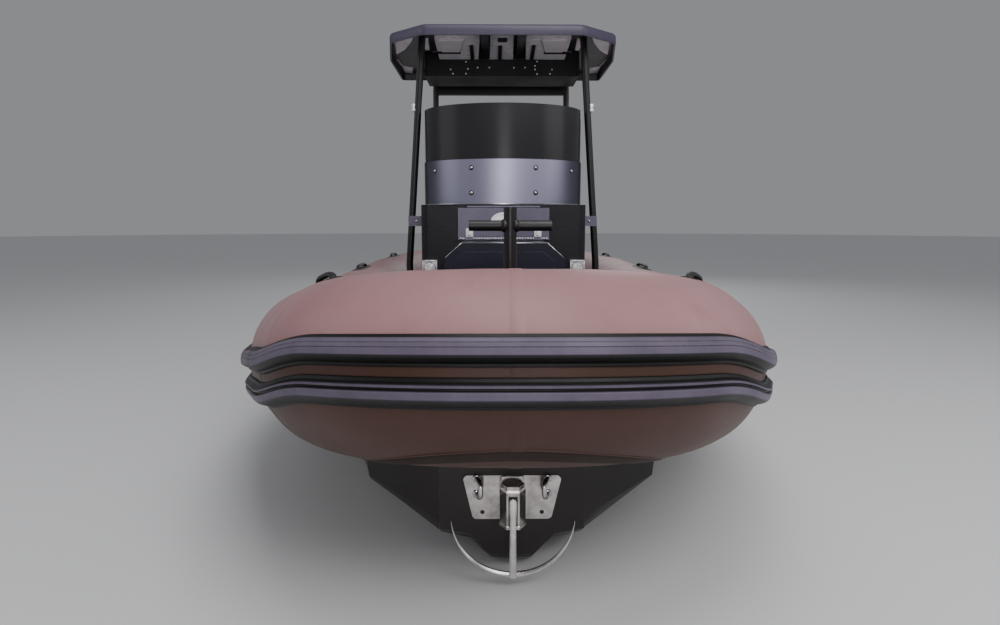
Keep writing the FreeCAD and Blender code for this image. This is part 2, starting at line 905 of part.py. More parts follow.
# Console body
console = doc.addObject("PartDesign::Body", "console")
console_sketch = sketch(console, "console_side", "YZ_Plane", [
    ("console_front_y", "deck_z"),
    ("console_aft_y - console_toe_recess", "deck_z"),
    ("console_aft_y", "deck_z + console_toe_height"),
    ("console_aft_y", "console_top_z - console_toe_recess"),
    ("console_aft_y - console_toe_recess", "console_top_z"),
    ("console_front_y", "console_top_z"),
])
console_pad = pad(console, "console_block", console_sketch, "2 * console_half", symmetric=True)
console_round = round_edges(console, "console_corners", console_pad, "console_round", Z_AXIS)
sub_part(console)

# Coaming: the rounded upper part of the console that carries the screen and the instruments

def nosed_block(name, half, nose, low_z, high_z, aft_y):
    """An upright block with an elliptical nose before coaming_y and straight sides abaft it."""
    centre = point("0", "coaming_y", low_z)
    side = X_AXIS * size(half)
    long, short = sorted((size(half), size(nose)), reverse=True)
    ellipse = Part.Ellipse(centre, long, short)
    arc = Part.Arc(ellipse, math.pi, 2 * math.pi).toShape()
    run = Y_AXIS * (size(aft_y) - centre.y)
    sides = Part.makePolygon([centre + side, centre + side + run, centre - side + run, centre - side])
    outline = Part.Wire([arc] + sides.Edges)
    block = Part.Face(outline).extrude(Z_AXIS * (size(high_z) - size(low_z)))
    return solid_of(name, block)


sub_part(nosed_block("console_coaming", "coaming_half", "coaming_nose", "console_top_z", "coaming_top_z",
                     "coaming_aft_y"))


def wrapped_sheet(name, outset, thick, low_z, high_z):
    """A sheet that wraps the coaming's nose at an outset and runs straight aft on both sides."""
    outer = nosed_block(name + "_outer", "coaming_half + " + outset, "coaming_nose + " + outset,
                        low_z, high_z, "screen_leg_y")
    inset = outset + " - " + thick
    inner = nosed_block(name + "_inner", "coaming_half + " + inset, "coaming_nose + " + inset,
                        low_z + " - 1", high_z + " + 1", "screen_leg_y + 1")
    return cut(name, outer, inner)


sub_part(wrapped_sheet("console_band", "tube_gap + band_thick", "band_thick", "band_foot_z", "band_top_z"))
sub_part(wrapped_sheet("windscreen", "0", "screen_thick", "coaming_top_z", "screen_top_z"))

# Console hatch on the front face, hinged along its top edge
hatch_leaf = box("hatch_leaf", ("-hatch_half", "console_front_y - lid_gap - hatch_thick", "hatch_foot_z"),
                 ("hatch_half", "console_front_y - lid_gap", "hatch_top_z - 2 * lid_knuckle_radius"))
hatch_knuckle = cylinder("hatch_knuckle", "lid_knuckle_radius", "2 * hatch_half - 2 * lid_knuckle_inset",
                         ("lid_knuckle_inset - hatch_half", "console_front_y - lid_gap - lid_knuckle_radius",
                          "hatch_top_z - lid_knuckle_radius"), X_AXIS)
hatch_bridge = box("hatch_bridge",
                   ("lid_knuckle_inset - hatch_half",
                    "console_front_y - lid_gap - lid_knuckle_radius - lid_bridge_half",
                    "hatch_top_z - 2 * lid_knuckle_radius - 1"),
                   ("hatch_half - lid_knuckle_inset",
                    "console_front_y - lid_gap - lid_knuckle_radius + lid_bridge_half",
                    "hatch_top_z - lid_knuckle_radius"))
hatch_lip = box("hatch_lip",
                ("-hatch_half", "console_front_y - lid_gap - hatch_thick - hatch_lip_reach", "hatch_foot_z"),
                ("hatch_half", "console_front_y - lid_gap - hatch_thick", "hatch_foot_z + hatch_lip_height"))
hatch_latch = box("hatch_latch", ("hatch_latch_x - hatch_latch_half",
                                  "console_front_y - lid_gap - hatch_thick - hatch_latch_thick",
                                  "hatch_foot_z"),
                  ("hatch_latch_x + hatch_latch_half", "console_front_y - lid_gap - hatch_thick",
                   "hatch_foot_z + hatch_latch_height"))
sub_part(fuse("console_hatch", hatch_leaf, hatch_knuckle, hatch_bridge, hatch_lip, hatch_latch,
              mirrored("hatch_latch_mirror", hatch_latch)))
sub_part(cylinder("inspection_plate", "inspection_radius", "inspection_thick",
                  ("0", "console_front_y - lid_gap - hatch_thick - inspection_thick", "inspection_z"),
                  Y_AXIS))

# Deck lamps at the foot of the console
lamp_case = box("lamp_case", ("lamp_x - lamp_half", "console_front_y - lamp_depth", "lamp_z - lamp_half"),
                ("lamp_x + lamp_half", "console_front_y", "lamp_z + lamp_half"))
lamp_lens = cylinder("lamp_lens", "lamp_lens_radius", "2 * lamp_lens_depth",
                     ("lamp_x", "console_front_y - lamp_depth - lamp_lens_depth", "lamp_z"), Y_AXIS)
sub_part(pair("deck_lamps", fuse("deck_lamp", lamp_case, lamp_lens)))

# Grab rails on the coaming behind the screen
rail_path = bent_path([point("rail_x", "rail_front_y", "coaming_top_z"),
                       point("rail_x", "rail_front_y", "rail_top_z"),
                       point("rail_x", "rail_aft_y", "rail_top_z"),
                       point("rail_x", "rail_aft_y", "coaming_top_z")],
                      [size("rail_bend_radius")] * 2)
rail_face = Part.Face(Part.Wire(Part.makeCircle(size("rail_radius"),
                                                point("rail_x", "rail_front_y", "coaming_top_z"), Z_AXIS)))
rail_solids, rail_end = follow(rail_face, rail_path)
sub_part(pair("console_grab_rails", solid_of("console_grab_rail", joined(rail_solids))))

# Steering wheel on the console's aft face
wheel_axis = FreeCAD.Vector(0, math.cos(math.radians(size("wheel_tilt"))),
                            math.sin(math.radians(size("wheel_tilt"))))
wheel_turn = FreeCAD.Rotation(Z_AXIS, wheel_axis)
wheel_foot = point("0", "console_aft_y", "wheel_z - wheel_foot_drop")
wheel_centre = wheel_foot + wheel_axis * size("wheel_reach")
boss_depth = size("wheel_boss_depth")
spoke_width = size("wheel_spoke_width")
spoke_thick = size("wheel_spoke_thick")
wheel_pieces = [Part.makeTorus(size("wheel_radius"), size("wheel_rim_radius"), ORIGIN, Z_AXIS),
                Part.makeCylinder(size("wheel_boss_radius"), boss_depth, Z_AXIS * (-boss_depth / 2))]
for number in range(int(size("wheel_spokes"))):
    spoke = Part.makeBox(size("wheel_radius"), spoke_width, spoke_thick,
                         FreeCAD.Vector(0, -spoke_width / 2, -spoke_thick / 2))
    spoke.rotate(ORIGIN, Z_AXIS, 90 + 360 / size("wheel_spokes") * number)
    wheel_pieces.append(spoke)
wheel_shape = joined(wheel_pieces)
wheel_shape.Placement = FreeCAD.Placement(wheel_centre, wheel_turn)
sub_part(solid_of("steering_wheel", wheel_shape))
helm_shape = Part.makeCylinder(size("helm_hub_radius"), size("wheel_reach - helm_hub_gap + helm_hub_root"),
                               Z_AXIS * -size("helm_hub_root"))
helm_shape.Placement = FreeCAD.Placement(wheel_foot, wheel_turn)
helm_post = solid_of("helm_post", helm_shape)
sub_part(cut("helm_hub", helm_post, console))

# Throttle beside the wheel
throttle_box = box("throttle_box",
                   ("throttle_x - throttle_half", "console_aft_y", "wheel_z - throttle_foot_drop"),
                   ("throttle_x + throttle_half", "console_aft_y + throttle_depth",
                    "wheel_z - throttle_foot_drop + throttle_height"))
lever_foot = ("throttle_x", "console_aft_y + throttle_depth - throttle_lever_radius",
              "wheel_z - throttle_foot_drop + throttle_height / 2")
lever_head = ("throttle_x", "console_aft_y + throttle_depth + throttle_lever_run",
              "wheel_z - throttle_foot_drop + throttle_height / 2 + throttle_lever_rise")
throttle_lever = pipe_between("throttle_lever", "throttle_lever_radius", lever_foot, lever_head)
throttle_grip = cylinder("throttle_grip", "throttle_grip_radius", "2 * throttle_half",
                         ("throttle_x - throttle_half", lever_head[1], lever_head[2]), X_AXIS)
sub_part(fuse("throttle", throttle_box, throttle_lever, throttle_grip))

# Hardtop: a folded panel with its rim turned down
roof_outline = [
    ("-roof_front_half", "roof_front_y"),
    ("roof_front_half", "roof_front_y"),
    ("roof_corner_half", "roof_corner_y"),
    ("roof_side_half", "roof_side_y"),
    ("roof_aft_half", "roof_aft_y"),
    ("-roof_aft_half", "roof_aft_y"),
    ("-roof_side_half", "roof_side_y"),
    ("-roof_corner_half", "roof_corner_y"),
]
roof_inner = [
    ("-roof_front_half + 2 * roof_skin", "roof_front_y + 3 * roof_skin"),
    ("roof_front_half - 2 * roof_skin", "roof_front_y + 3 * roof_skin"),
    ("roof_corner_half - 3 * roof_skin", "roof_corner_y + 2 * roof_skin"),
    ("roof_side_half - 3 * roof_skin", "roof_side_y"),
    ("roof_aft_half - 3 * roof_skin", "roof_aft_y - 3 * roof_skin"),
    ("-roof_aft_half + 3 * roof_skin", "roof_aft_y - 3 * roof_skin"),
    ("-roof_side_half + 3 * roof_skin", "roof_side_y"),
    ("-roof_corner_half + 3 * roof_skin", "roof_corner_y + 2 * roof_skin"),
]
hardtop = doc.addObject("PartDesign::Body", "hardtop")
roof_sketch = sketch(hardtop, "hardtop_outline", "XY_Plane", roof_outline, offset="roof_top_z - roof_depth")
roof_pad = pad(hardtop, "hardtop_panel", roof_sketch, "roof_depth")
roof_inner_sketch = sketch(hardtop, "hardtop_inside", "XY_Plane", roof_inner,
                           offset="roof_top_z - roof_depth")
roof_pocket = pocket(hardtop, "hardtop_hollow", roof_inner_sketch, "roof_depth - roof_skin",
                     reverse=True)
sub_part(hardtop)

# Posts, which lean inwards from the deck to the roof
roof_under = "roof_top_z - roof_skin"


def bent_post(name, y, places):
    """A pipe from the deck to the roof panel through (half-breadth, height) places, with a foot ring."""
    points = [point(x, y, z) for x, z in places]
    direction = (points[1] - points[0]).normalize()
    low = points[0] - direction * (2 * size("pipe_radius"))
    top_direction = (points[-1] - points[-2]).normalize()
    high = points[-1] + top_direction * (2 * size("pipe_radius"))
    points = [low] + points[1:-1] + [high]
    face = Part.Face(Part.Wire(Part.makeCircle(size("pipe_radius"), points[0], direction)))
    solids, end = follow(face, bent_path(points, [size("post_bend_radius")] * (len(points) - 2)))
    pipe = solid_of(name + "_pipe", joined(solids))
    slab = box(name + "_slab", ("0", y + " - 2 * pipe_radius", "deck_z"),
               ("beam", y + " + 2 * pipe_radius", roof_under))
    foot = cylinder(name + "_foot", "post_ring_radius", "post_ring_height", (places[0][0], y, "deck_z"))
    return fuse(name, common(name + "_length", pipe, slab), foot)


front_post_places = [("front_post_foot_x", "deck_z"), ("front_post_knee_x", "front_post_knee_z"),
                     ("front_post_top_x", roof_under)]
rear_post_places = [("rear_post_foot_x", "deck_z"), ("rear_post_top_x", roof_under)]
sub_part(pair("hardtop_front_posts", bent_post("front_post", "front_post_y", front_post_places)))
sub_part(pair("hardtop_rear_posts", bent_post("rear_post", "rear_post_y", rear_post_places)))

# Crossbar between the rear posts and the two beams under the roof
crossbar_bar = box("crossbar_bar",
                   ("-rear_post_top_x", "rear_post_y - crossbar_half_depth",
                    "roof_top_z - crossbar_drop - crossbar_half_height"),
                   ("rear_post_top_x", "rear_post_y + crossbar_half_depth",
                    "roof_top_z - crossbar_drop + crossbar_half_height"))
rear_pipe_seat = pipe_between("rear_pipe_seat", "pipe_radius + tube_gap",
                              ("rear_post_foot_x", "rear_post_y", "deck_z"),
                              ("rear_post_top_x", "rear_post_y", roof_under))
crossbar = cut("crossbar", crossbar_bar, rear_pipe_seat, mirrored("rear_pipe_seat_mirror", rear_pipe_seat))
beam = box("roof_beam", ("beam_x - beam_half", "roof_front_y + beam_inset", roof_under + " - beam_height"),
           ("beam_x + beam_half", "overhead_front_y", roof_under))
sub_part(together("hardtop_frame", crossbar, beam, mirrored("roof_beam_mirror", beam)))
sub_part(box("overhead_box", ("-overhead_half", "overhead_front_y", "roof_top_z - overhead_drop"),
             ("overhead_half", "overhead_aft_y", roof_under)))

# Brackets between the front posts and the console
bracket_plate = box("bracket_plate", ("console_half", "front_post_y - bracket_half_depth",
                                      "bracket_foot_z"),
                    ("front_post_knee_x - pipe_radius / 2", "front_post_y + bracket_half_depth",
                     "bracket_top_z"))
front_pipe_seat = pipe_between("front_pipe_seat", "pipe_radius + tube_gap",
                               ("front_post_knee_x", "front_post_y", "front_post_knee_z"),
                               ("front_post_top_x", "front_post_y", roof_under))
sub_part(pair("post_brackets", cut("post_bracket", bracket_plate, front_pipe_seat)))

# Helm seat
sub_part(box("helm_seat_base", ("-seat_half", "seat_front_y", "deck_z"),
             ("seat_half", "seat_aft_y", "seat_base_z")))
sub_part(box("helm_seat_cushion",
             ("-seat_half", "seat_front_y - cushion_overhang", "seat_base_z + cushion_gap"),
             ("seat_half", "seat_aft_y - backrest_thick", "seat_base_z + cushion_gap + cushion_height")))
seat_rail_x = "seat_half - 2 * seat_rail_radius"
seat_rail_y = "seat_aft_y - seat_rail_radius"
seat_rail_top = "backrest_top_z - seat_rail_drop"
rail_points = [point(seat_rail_x, seat_rail_y, "seat_base_z"),
               point(seat_rail_x, seat_rail_y, seat_rail_top),
               point("-(%s)" % seat_rail_x, seat_rail_y, seat_rail_top),
               point("-(%s)" % seat_rail_x, seat_rail_y, "seat_base_z")]
seat_rail_face = Part.Face(Part.Wire(Part.makeCircle(size("seat_rail_radius"), rail_points[0], Z_AXIS)))
seat_rail_steps = bent_path(rail_points, [size("seat_rail_bend_radius")] * 2)
seat_rail_solids, seat_rail_end = follow(seat_rail_face, seat_rail_steps)
sub_part(solid_of("helm_seat_rail", joined(seat_rail_solids)))
sub_part(box("helm_seat_backrest",
             ("-seat_half + backrest_inset",
              "seat_aft_y - 2 * seat_rail_radius - backrest_thick - cushion_gap",
              "backrest_foot_z"),
             ("seat_half - backrest_inset", "seat_aft_y - 2 * seat_rail_radius - cushion_gap",
              "backrest_top_z")))


# Grab handles on the collar

def grab_handle(distance):
    """A bent bar with two feet, which stands on the collar's top and runs along it."""
    centre, heading = along(corner_end, side_steps, distance)
    level = heading.cross(Z_AXIS).normalize()
    angle = math.radians(size("handle_angle"))
    rise = level * math.cos(angle) + level.cross(heading) * math.sin(angle)
    foot = centre + rise * size("tube_radius - handle_sink")
    top = foot + rise * size("handle_rise")
    half = heading * (size("handle_length") / 2)
    shoulder = heading * size("handle_length / 2 - handle_foot_run")
    points = [foot - half, top - shoulder, top + shoulder, foot + half]
    direction = (points[1] - points[0]).normalize()
    face = Part.Face(Part.Wire(Part.makeCircle(size("handle_radius"), points[0], direction)))
    solids, end = follow(face, bent_path(points, [size("handle_bend_radius")] * 2))
    bar = joined(solids).cut(collar_seat)
    bar.translate(rise * size("tube_gap"))
    return bar


handle_names = ("handle_forward", "handle_middle", "handle_aft")
handles = [solid_of(name, grab_handle(size(name))) for name in handle_names]
handle_set = together("handle_row", *handles)
sub_part(pair("collar_handles", handle_set))

# Outboard: clamp bracket on the transom
cheek = box("clamp_cheek", ("bracket_half - bracket_cheek", "transom_y", "0"),
            ("bracket_half", "tilt_y + bracket_rim", "tilt_z + bracket_rim"))
clamp_plate = box("clamp_plate", ("-bracket_half", "transom_y", "0"), ("bracket_half",
                                                                      "transom_y + bracket_plate_thick",
                                                                      "deck_z - bracket_plate_drop"))
tilt_pin = cylinder("tilt_pin", "tilt_pin_radius", "2 * bracket_half", ("-bracket_half", "tilt_y", "tilt_z"),
                    X_AXIS)
sub_part(fuse("outboard_clamp", cheek, mirrored("clamp_cheek_mirror", cheek), clamp_plate, tilt_pin))

# Swivel bracket, which tilts on the pin
swivel_barrel = cylinder("swivel_barrel", "steer_pin_radius + swivel_wall", "swivel_top_z - swivel_foot_z",
                         ("0", "steer_y", "swivel_foot_z"))
swivel_knuckle = cylinder("swivel_knuckle", "tilt_pin_radius + knuckle_wall", "2 * swivel_half",
                          ("-swivel_half", "tilt_y", "tilt_z"), X_AXIS)
swivel_web = box("swivel_web", ("-swivel_half * 0.7", "tilt_y", "tilt_z - swivel_web_drop"),
                 ("swivel_half * 0.7", "steer_y", "tilt_z + knuckle_wall"))
tilt_bore = cylinder("tilt_bore", "tilt_pin_radius + pin_gap", "4 * bracket_half",
                     ("-2 * bracket_half", "tilt_y", "tilt_z"), X_AXIS)
steer_bore = cylinder("steer_bore", "steer_pin_radius + pin_gap", "2 * leg_top_z",
                      ("0", "steer_y", "-leg_top_z"))
sub_part(cut("outboard_swivel", fuse("swivel_body", swivel_barrel, swivel_knuckle, swivel_web),
             tilt_bore, steer_bore))

# Leg: steering shaft, exhaust housing, plate and gearcase
steer_shaft = cylinder("steer_shaft", "steer_pin_radius", "leg_top_z - swivel_foot_z + leg_arm_depth",
                       ("0", "steer_y", "swivel_foot_z - leg_arm_depth"))
upper_arm = box("upper_arm", ("-leg_half", "steer_y - leg_shell", "swivel_top_z + leg_gap"),
                ("leg_half", "leg_aft_y", "leg_top_z"))
lower_arm = box("lower_arm", ("-leg_half", "steer_y - leg_shell", "swivel_foot_z - leg_arm_depth"),
                ("leg_half", "leg_front_y + leg_arm_depth", "swivel_foot_z - leg_gap"))
housing = box("leg_housing", ("-leg_half", "leg_front_y + leg_gap", "prop_z"),
              ("leg_half", "leg_aft_y", "leg_top_z - 1"))
plate = box("leg_plate", ("-plate_half", "leg_front_y - leg_arm_depth", "plate_z"),
            ("plate_half", "leg_aft_y + plate_reach", "plate_z + plate_thick"))
gearcase = cylinder("gearcase_tube", "gearcase_radius", "gearcase_aft_y - steer_y",
                    ("0", "steer_y", "prop_z"), Y_AXIS)
skeg = box("skeg", ("-skeg_half", "leg_front_y", "skeg_z"), ("skeg_half", "leg_aft_y", "prop_z"))
prop_shaft = cylinder("prop_shaft", "prop_shaft_radius", "hub_length + 5 * hub_gap",
                      ("0", "gearcase_aft_y", "prop_z"), Y_AXIS)
sub_part(fuse("outboard_leg", steer_shaft, upper_arm, lower_arm, housing, plate, gearcase, skeg,
              prop_shaft))


# Cowl: a loft of rounded outlines

def rounded_outline(corners, radius):
    """A closed wire through square corners, each rounded by an arc of one radius."""
    edges = []
    starts = []
    for number, corner in enumerate(corners):
        back = (corners[number - 1] - corner).normalize()
        ahead = (corners[(number + 1) % len(corners)] - corner).normalize()
        middle = corner + (back + ahead) * radius * (1 - math.sqrt(0.5))
        starts.append((corner + back * radius, middle, corner + ahead * radius))
    for number, (start, middle, end) in enumerate(starts):
        edges.append(Part.Arc(start, middle, end).toShape())
        edges.append(Part.LineSegment(end, starts[(number + 1) % len(starts)][0]).toShape())
    return Part.Wire(edges)


def cowl_section(rise, width, front, aft):
    """The cowl's outline at shares of its height and width, drawn in at its front and aft ends."""
    half = size("cowl_half") * width
    depth = size("cowl_aft_y - cowl_front_y")
    front_y = size("cowl_front_y") + depth * front
    aft_y = size("cowl_aft_y") - depth * aft
    z = size("cowl_z") + size("cowl_top_z - cowl_z") * rise
    places = [(half, front_y), (half, aft_y), (-half, aft_y), (-half, front_y)]
    return rounded_outline([FreeCAD.Vector(x, y, z) for x, y in places], half * 0.46)


cowl_sections = [
    cowl_section(0, 0.72, 0.1, 0.12),
    cowl_section(0.16, 0.95, 0.03, 0.04),
    cowl_section(0.52, 1, 0, 0),
    cowl_section(0.84, 0.9, 0.03, 0.08),
    cowl_section(1, 0.6, 0.2, 0.32),
]
sub_part(solid_of("outboard_cowl", Part.makeLoft(cowl_sections, True, False)))


# Propeller: a hub with lofted blades

def blade():
    """A blade lofted through three slanted sections, from the hub out to the tip.

    The chord is widest half way out, and pitch and thickness fall as 1 / radius.
    """
    root = size("blade_root_radius")
    tip = size("blade_tip_radius")
    middle = (root + tip) / 2
    sections = []
    for radius, chord_share in ((root, 0.7), (middle, 1), (tip, 0.46)):
        pitch_angle = math.atan(math.tan(math.radians(size("blade_pitch_angle"))) * middle / radius)
        chord = size("blade_chord") * chord_share
        thick = size("blade_thick") * math.sqrt(middle / radius)
        across = FreeCAD.Vector(math.sin(pitch_angle), math.cos(pitch_angle), 0)
        normal = across.cross(Z_AXIS)
        centre = FreeCAD.Vector(0, 0, radius)
        ring = [centre - across * chord / 2, centre + normal * thick / 2,
                centre + across * chord / 2, centre - normal * thick / 2]
        sections.append(Part.makePolygon(ring + ring[:1]))
    return Part.makeLoft(sections, True, True)


prop_pieces = [Part.makeCylinder(size("hub_radius"), size("hub_length"),
                                 FreeCAD.Vector(0, -size("hub_length") / 2, 0), Y_AXIS)]
for number in range(int(size("prop_blades"))):
    turned = blade()
    turned.rotate(ORIGIN, Y_AXIS, 360 / size("prop_blades") * number)
    prop_pieces.append(turned)
prop_shape = joined(prop_pieces)
bore = Part.makeCylinder(size("prop_shaft_radius + pin_gap"), size("2 * hub_length"),
                         Y_AXIS * -size("hub_length"), Y_AXIS)
prop_shape = prop_shape.cut(bore)
prop_shape.translate(point("0", "gearcase_aft_y + hub_length / 2 + hub_gap", "prop_z"))
sub_part(solid_of("propeller", prop_shape))

doc.recompute()

failed = [item.Label for item in doc.Objects if "Invalid" in item.State or "Error" in item.State]
for piece in sub_parts:
    if piece.Shape.isNull() or not piece.Shape.isValid() or not piece.Shape.Solids:
        failed.append(piece.Label)
if failed:
    raise RuntimeError("not built: " + ", ".join(failed))

for piece in sub_parts:
    piece.Shape.exportStep("parts/%s.step" % piece.Label)
print(len(sub_parts), "sub-parts written")
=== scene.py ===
import bpy
import math
import numpy as np
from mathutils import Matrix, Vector


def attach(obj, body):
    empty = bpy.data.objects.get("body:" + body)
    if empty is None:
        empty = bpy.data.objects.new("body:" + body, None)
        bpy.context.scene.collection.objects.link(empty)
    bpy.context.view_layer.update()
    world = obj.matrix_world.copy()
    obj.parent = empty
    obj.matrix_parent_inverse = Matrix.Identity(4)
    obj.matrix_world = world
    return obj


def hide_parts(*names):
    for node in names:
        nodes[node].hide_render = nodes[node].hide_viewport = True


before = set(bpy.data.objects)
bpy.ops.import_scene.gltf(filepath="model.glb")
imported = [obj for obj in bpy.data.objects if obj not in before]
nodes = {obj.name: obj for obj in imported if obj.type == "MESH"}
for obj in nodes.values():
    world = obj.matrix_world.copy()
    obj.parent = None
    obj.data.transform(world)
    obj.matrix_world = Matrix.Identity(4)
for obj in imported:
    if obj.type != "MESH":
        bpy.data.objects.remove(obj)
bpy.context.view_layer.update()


# View, floor and light
# The eye stands low ahead of the bow, just above the collar, and the floor is the water's level.
# The light is a big soft panel over the eye, with weaker ones above, ahead, each side and aft, and
# a pale room.

eye = bpy.data.cameras.new("bow_view")
eye.lens = 23.6
eye.sensor_width = 36.0
bow_view = bpy.data.objects.new("bow_view", eye)
bow_view.location = (-0.066, -5.41, 1.28)
bow_view.rotation_euler = (math.radians(81.97), 0, math.radians(-0.57))
bpy.context.scene.collection.objects.link(bow_view)
bpy.context.scene.camera = bow_view

room = bpy.data.worlds.new("pale_room")
room.use_nodes = True
room.node_tree.nodes["Background"].inputs["Color"].default_value = (0.80, 0.82, 0.86, 1)
room.node_tree.nodes["Background"].inputs["Strength"].default_value = 0.33
bpy.context.scene.world = room

for lamp_name, place, aim, width, watts in (
    ("key_panel", (2.4, -7.6, 6.2), (0, -2.9, 0.8), 4.0, 265),
    ("top_panel", (0.4, -3.9, 6.4), (0, -3.0, 1.0), 3.0, 120),
    ("front_panel", (0.3, -9.5, 2.3), (0, -1.0, 1.4), 1.6, 40),
    ("low_panel", (-0.2, -8.4, 0.95), (0, -1.0, 1.9), 1.5, 26),
    ("port_panel", (6.5, -4.0, 4.0), (0, -1.0, 0.8), 4.0, 85),
    ("starboard_panel", (-6.5, -3.0, 3.6), (0, 0.0, 0.8), 4.0, 52),
    ("aft_panel", (1.5, 7.5, 5.0), (0, 2.0, 0.8), 4.0, 120),
):
    panel = bpy.data.lights.new(lamp_name, "AREA")
    panel.shape = "SQUARE"
    panel.size = width
    panel.energy = watts
    holder = bpy.data.objects.new(lamp_name, panel)
    holder.location = place
    holder.rotation_euler = (Vector(aim) - Vector(place)).to_track_quat("-Z", "Y").to_euler()
    bpy.context.scene.collection.objects.link(holder)


def finish(name, **sockets):
    """A new material, with constant values on its shader's sockets."""
    material = bpy.data.materials.new(name)
    material.use_nodes = True
    shader = material.node_tree.nodes["Principled BSDF"]
    for socket, value in sockets.items():
        shader.inputs[socket.replace("_", " ")].default_value = value
    return material


floor_paint = finish("floor_paint", Roughness=0.6, Base_Color=(0.72, 0.72, 0.73, 1))
floor_reach = 60
floor_mesh = bpy.data.meshes.new("floor")
turn = np.linspace(0, 2 * np.pi, 96, endpoint=False)
floor_mesh.from_pydata((floor_reach * np.stack([np.cos(turn), np.sin(turn), 0 * turn],
                                               -1)).tolist(), [], [list(range(len(turn)))])
floor_mesh.materials.append(floor_paint)
floor = bpy.data.objects.new("floor", floor_mesh)
bpy.context.scene.collection.objects.link(floor)


# Hull
# Dark painted aluminium with a blunt stem, hard chines, a spray rail and a welded keel box. Its
# paint is scuffed along the edges and streaked by water.

def srgb(red, green, blue):
    """A screen colour of 0 to 255 as linear light: (c + 0.055) / 1.055 to the power 2.4."""
    share = np.array([red, green, blue]) / 255.0
    linear = np.where(share > 0.04045, ((share + 0.055) / 1.055) ** 2.4, share / 12.92)
    return (*linear.tolist(), 1.0)


def step(tree, kind, inputs=None, **settings):
    """Adds a node to a tree. An input is a constant or the output of another node."""
    node = tree.nodes.new(kind)
    for name, value in settings.items():
        setattr(node, name, value)
    for name, value in (inputs or {}).items():
        if isinstance(value, bpy.types.NodeSocket):
            tree.links.new(value, node.inputs[name])
        else:
            node.inputs[name].default_value = value
    return node


def feed(material, **outputs):
    """Joins outputs to the shader's sockets. Height goes through a bump of 1 mm a unit."""
    tree = material.node_tree
    shader = tree.nodes["Principled BSDF"]
    height = outputs.pop("Height", None)
    if height is not None:
        bump = step(tree, "ShaderNodeBump", {"Height": height, "Distance": 0.001, "Strength": 1.0})
        tree.links.new(bump.outputs["Normal"], shader.inputs["Normal"])
    for socket, output in outputs.items():
        tree.links.new(output, shader.inputs[socket.replace("_", " ")])


def shader_group(name, inputs, outputs):
    """An empty node group. Inputs are (name, kind, value); outputs are (name, kind)."""
    group = bpy.data.node_groups.new(name, "ShaderNodeTree")
    for socket, kind, value in inputs:
        made = group.interface.new_socket(socket, in_out="INPUT", socket_type="NodeSocket" + kind)
        made.default_value = value
    for socket, kind in outputs:
        group.interface.new_socket(socket, in_out="OUTPUT", socket_type="NodeSocket" + kind)
    given, wanted = group.nodes.new("NodeGroupInput"), group.nodes.new("NodeGroupOutput")
    return group, given.outputs, wanted.inputs


def maths(tree, operation, first, second=0.5, clamp=False):
    """One sum of two numbers or outputs."""
    node = step(tree, "ShaderNodeMath", {0: first, 1: second}, operation=operation, use_clamp=clamp)
    return node.outputs[0]


def blend_colours(tree, share, first, second):
    """first where share is 0, second where it is 1."""
    node = step(tree, "ShaderNodeMix", {0: share, 6: first, 7: second}, data_type="RGBA")
    return node.outputs[2]


def above(tree, value, start, gain):
    """How far a value is past its start, times a gain, held between 0 and 1."""
    return maths(tree, "MULTIPLY", maths(tree, "SUBTRACT", value, start), gain, clamp=True)


def place(tree, scale=(1, 1, 1), rotation=(0, 0, 0)):
    """The point on the piece in metres, turned and stretched."""
    point = step(tree, "ShaderNodeTexCoord").outputs["Object"]
    if scale == (1, 1, 1):
        return point
    return step(tree, "ShaderNodeMapping",
                {"Vector": point, "Scale": scale, "Rotation": rotation}).outputs["Vector"]


def noise(tree, point, scale, detail, roughness=0.5):
    """Clouds of 0 to 1 about a point."""
    return step(tree, "ShaderNodeTexNoise", {"Vector": point, "Scale": scale, "Detail": detail,
                                             "Roughness": roughness}).outputs["Fac"]


mottle, got, out = shader_group(
    "mottle", [("Colour", "Color", (0.5, 0.5, 0.5, 1)), ("Shade", "Color", (0.2, 0.2, 0.2, 1)),
               ("Scale", "Float", 3.0), ("Grain", "Float", 400.0), ("Amount", "Float", 0.4),
               ("Roughness", "Float", 0.5), ("Streaks", "Float", 0.0)],
    [("Colour", "Color"), ("Roughness", "Float"), ("Height", "Float")])
cloud = noise(mottle, place(mottle), got["Scale"], 5.0, 0.62)
share = maths(mottle, "MULTIPLY", above(mottle, cloud, 0.38, 3.0), got["Amount"])
runs = above(mottle, noise(mottle, place(mottle, (14.0, 14.0, 1.1)), 1.0, 4.0), 0.5, 4.0)
share = maths(mottle, "MAXIMUM", share, maths(mottle, "MULTIPLY", runs, got["Streaks"]))
mottle.links.new(blend_colours(mottle, share, got["Colour"], got["Shade"]), out["Colour"])
spread = maths(mottle, "MULTIPLY", maths(mottle, "SUBTRACT", cloud, 0.5), 0.35)
mottle.links.new(maths(mottle, "ADD", got["Roughness"], spread), out["Roughness"])
mottle.links.new(noise(mottle, place(mottle), got["Grain"], 2.0), out["Height"])

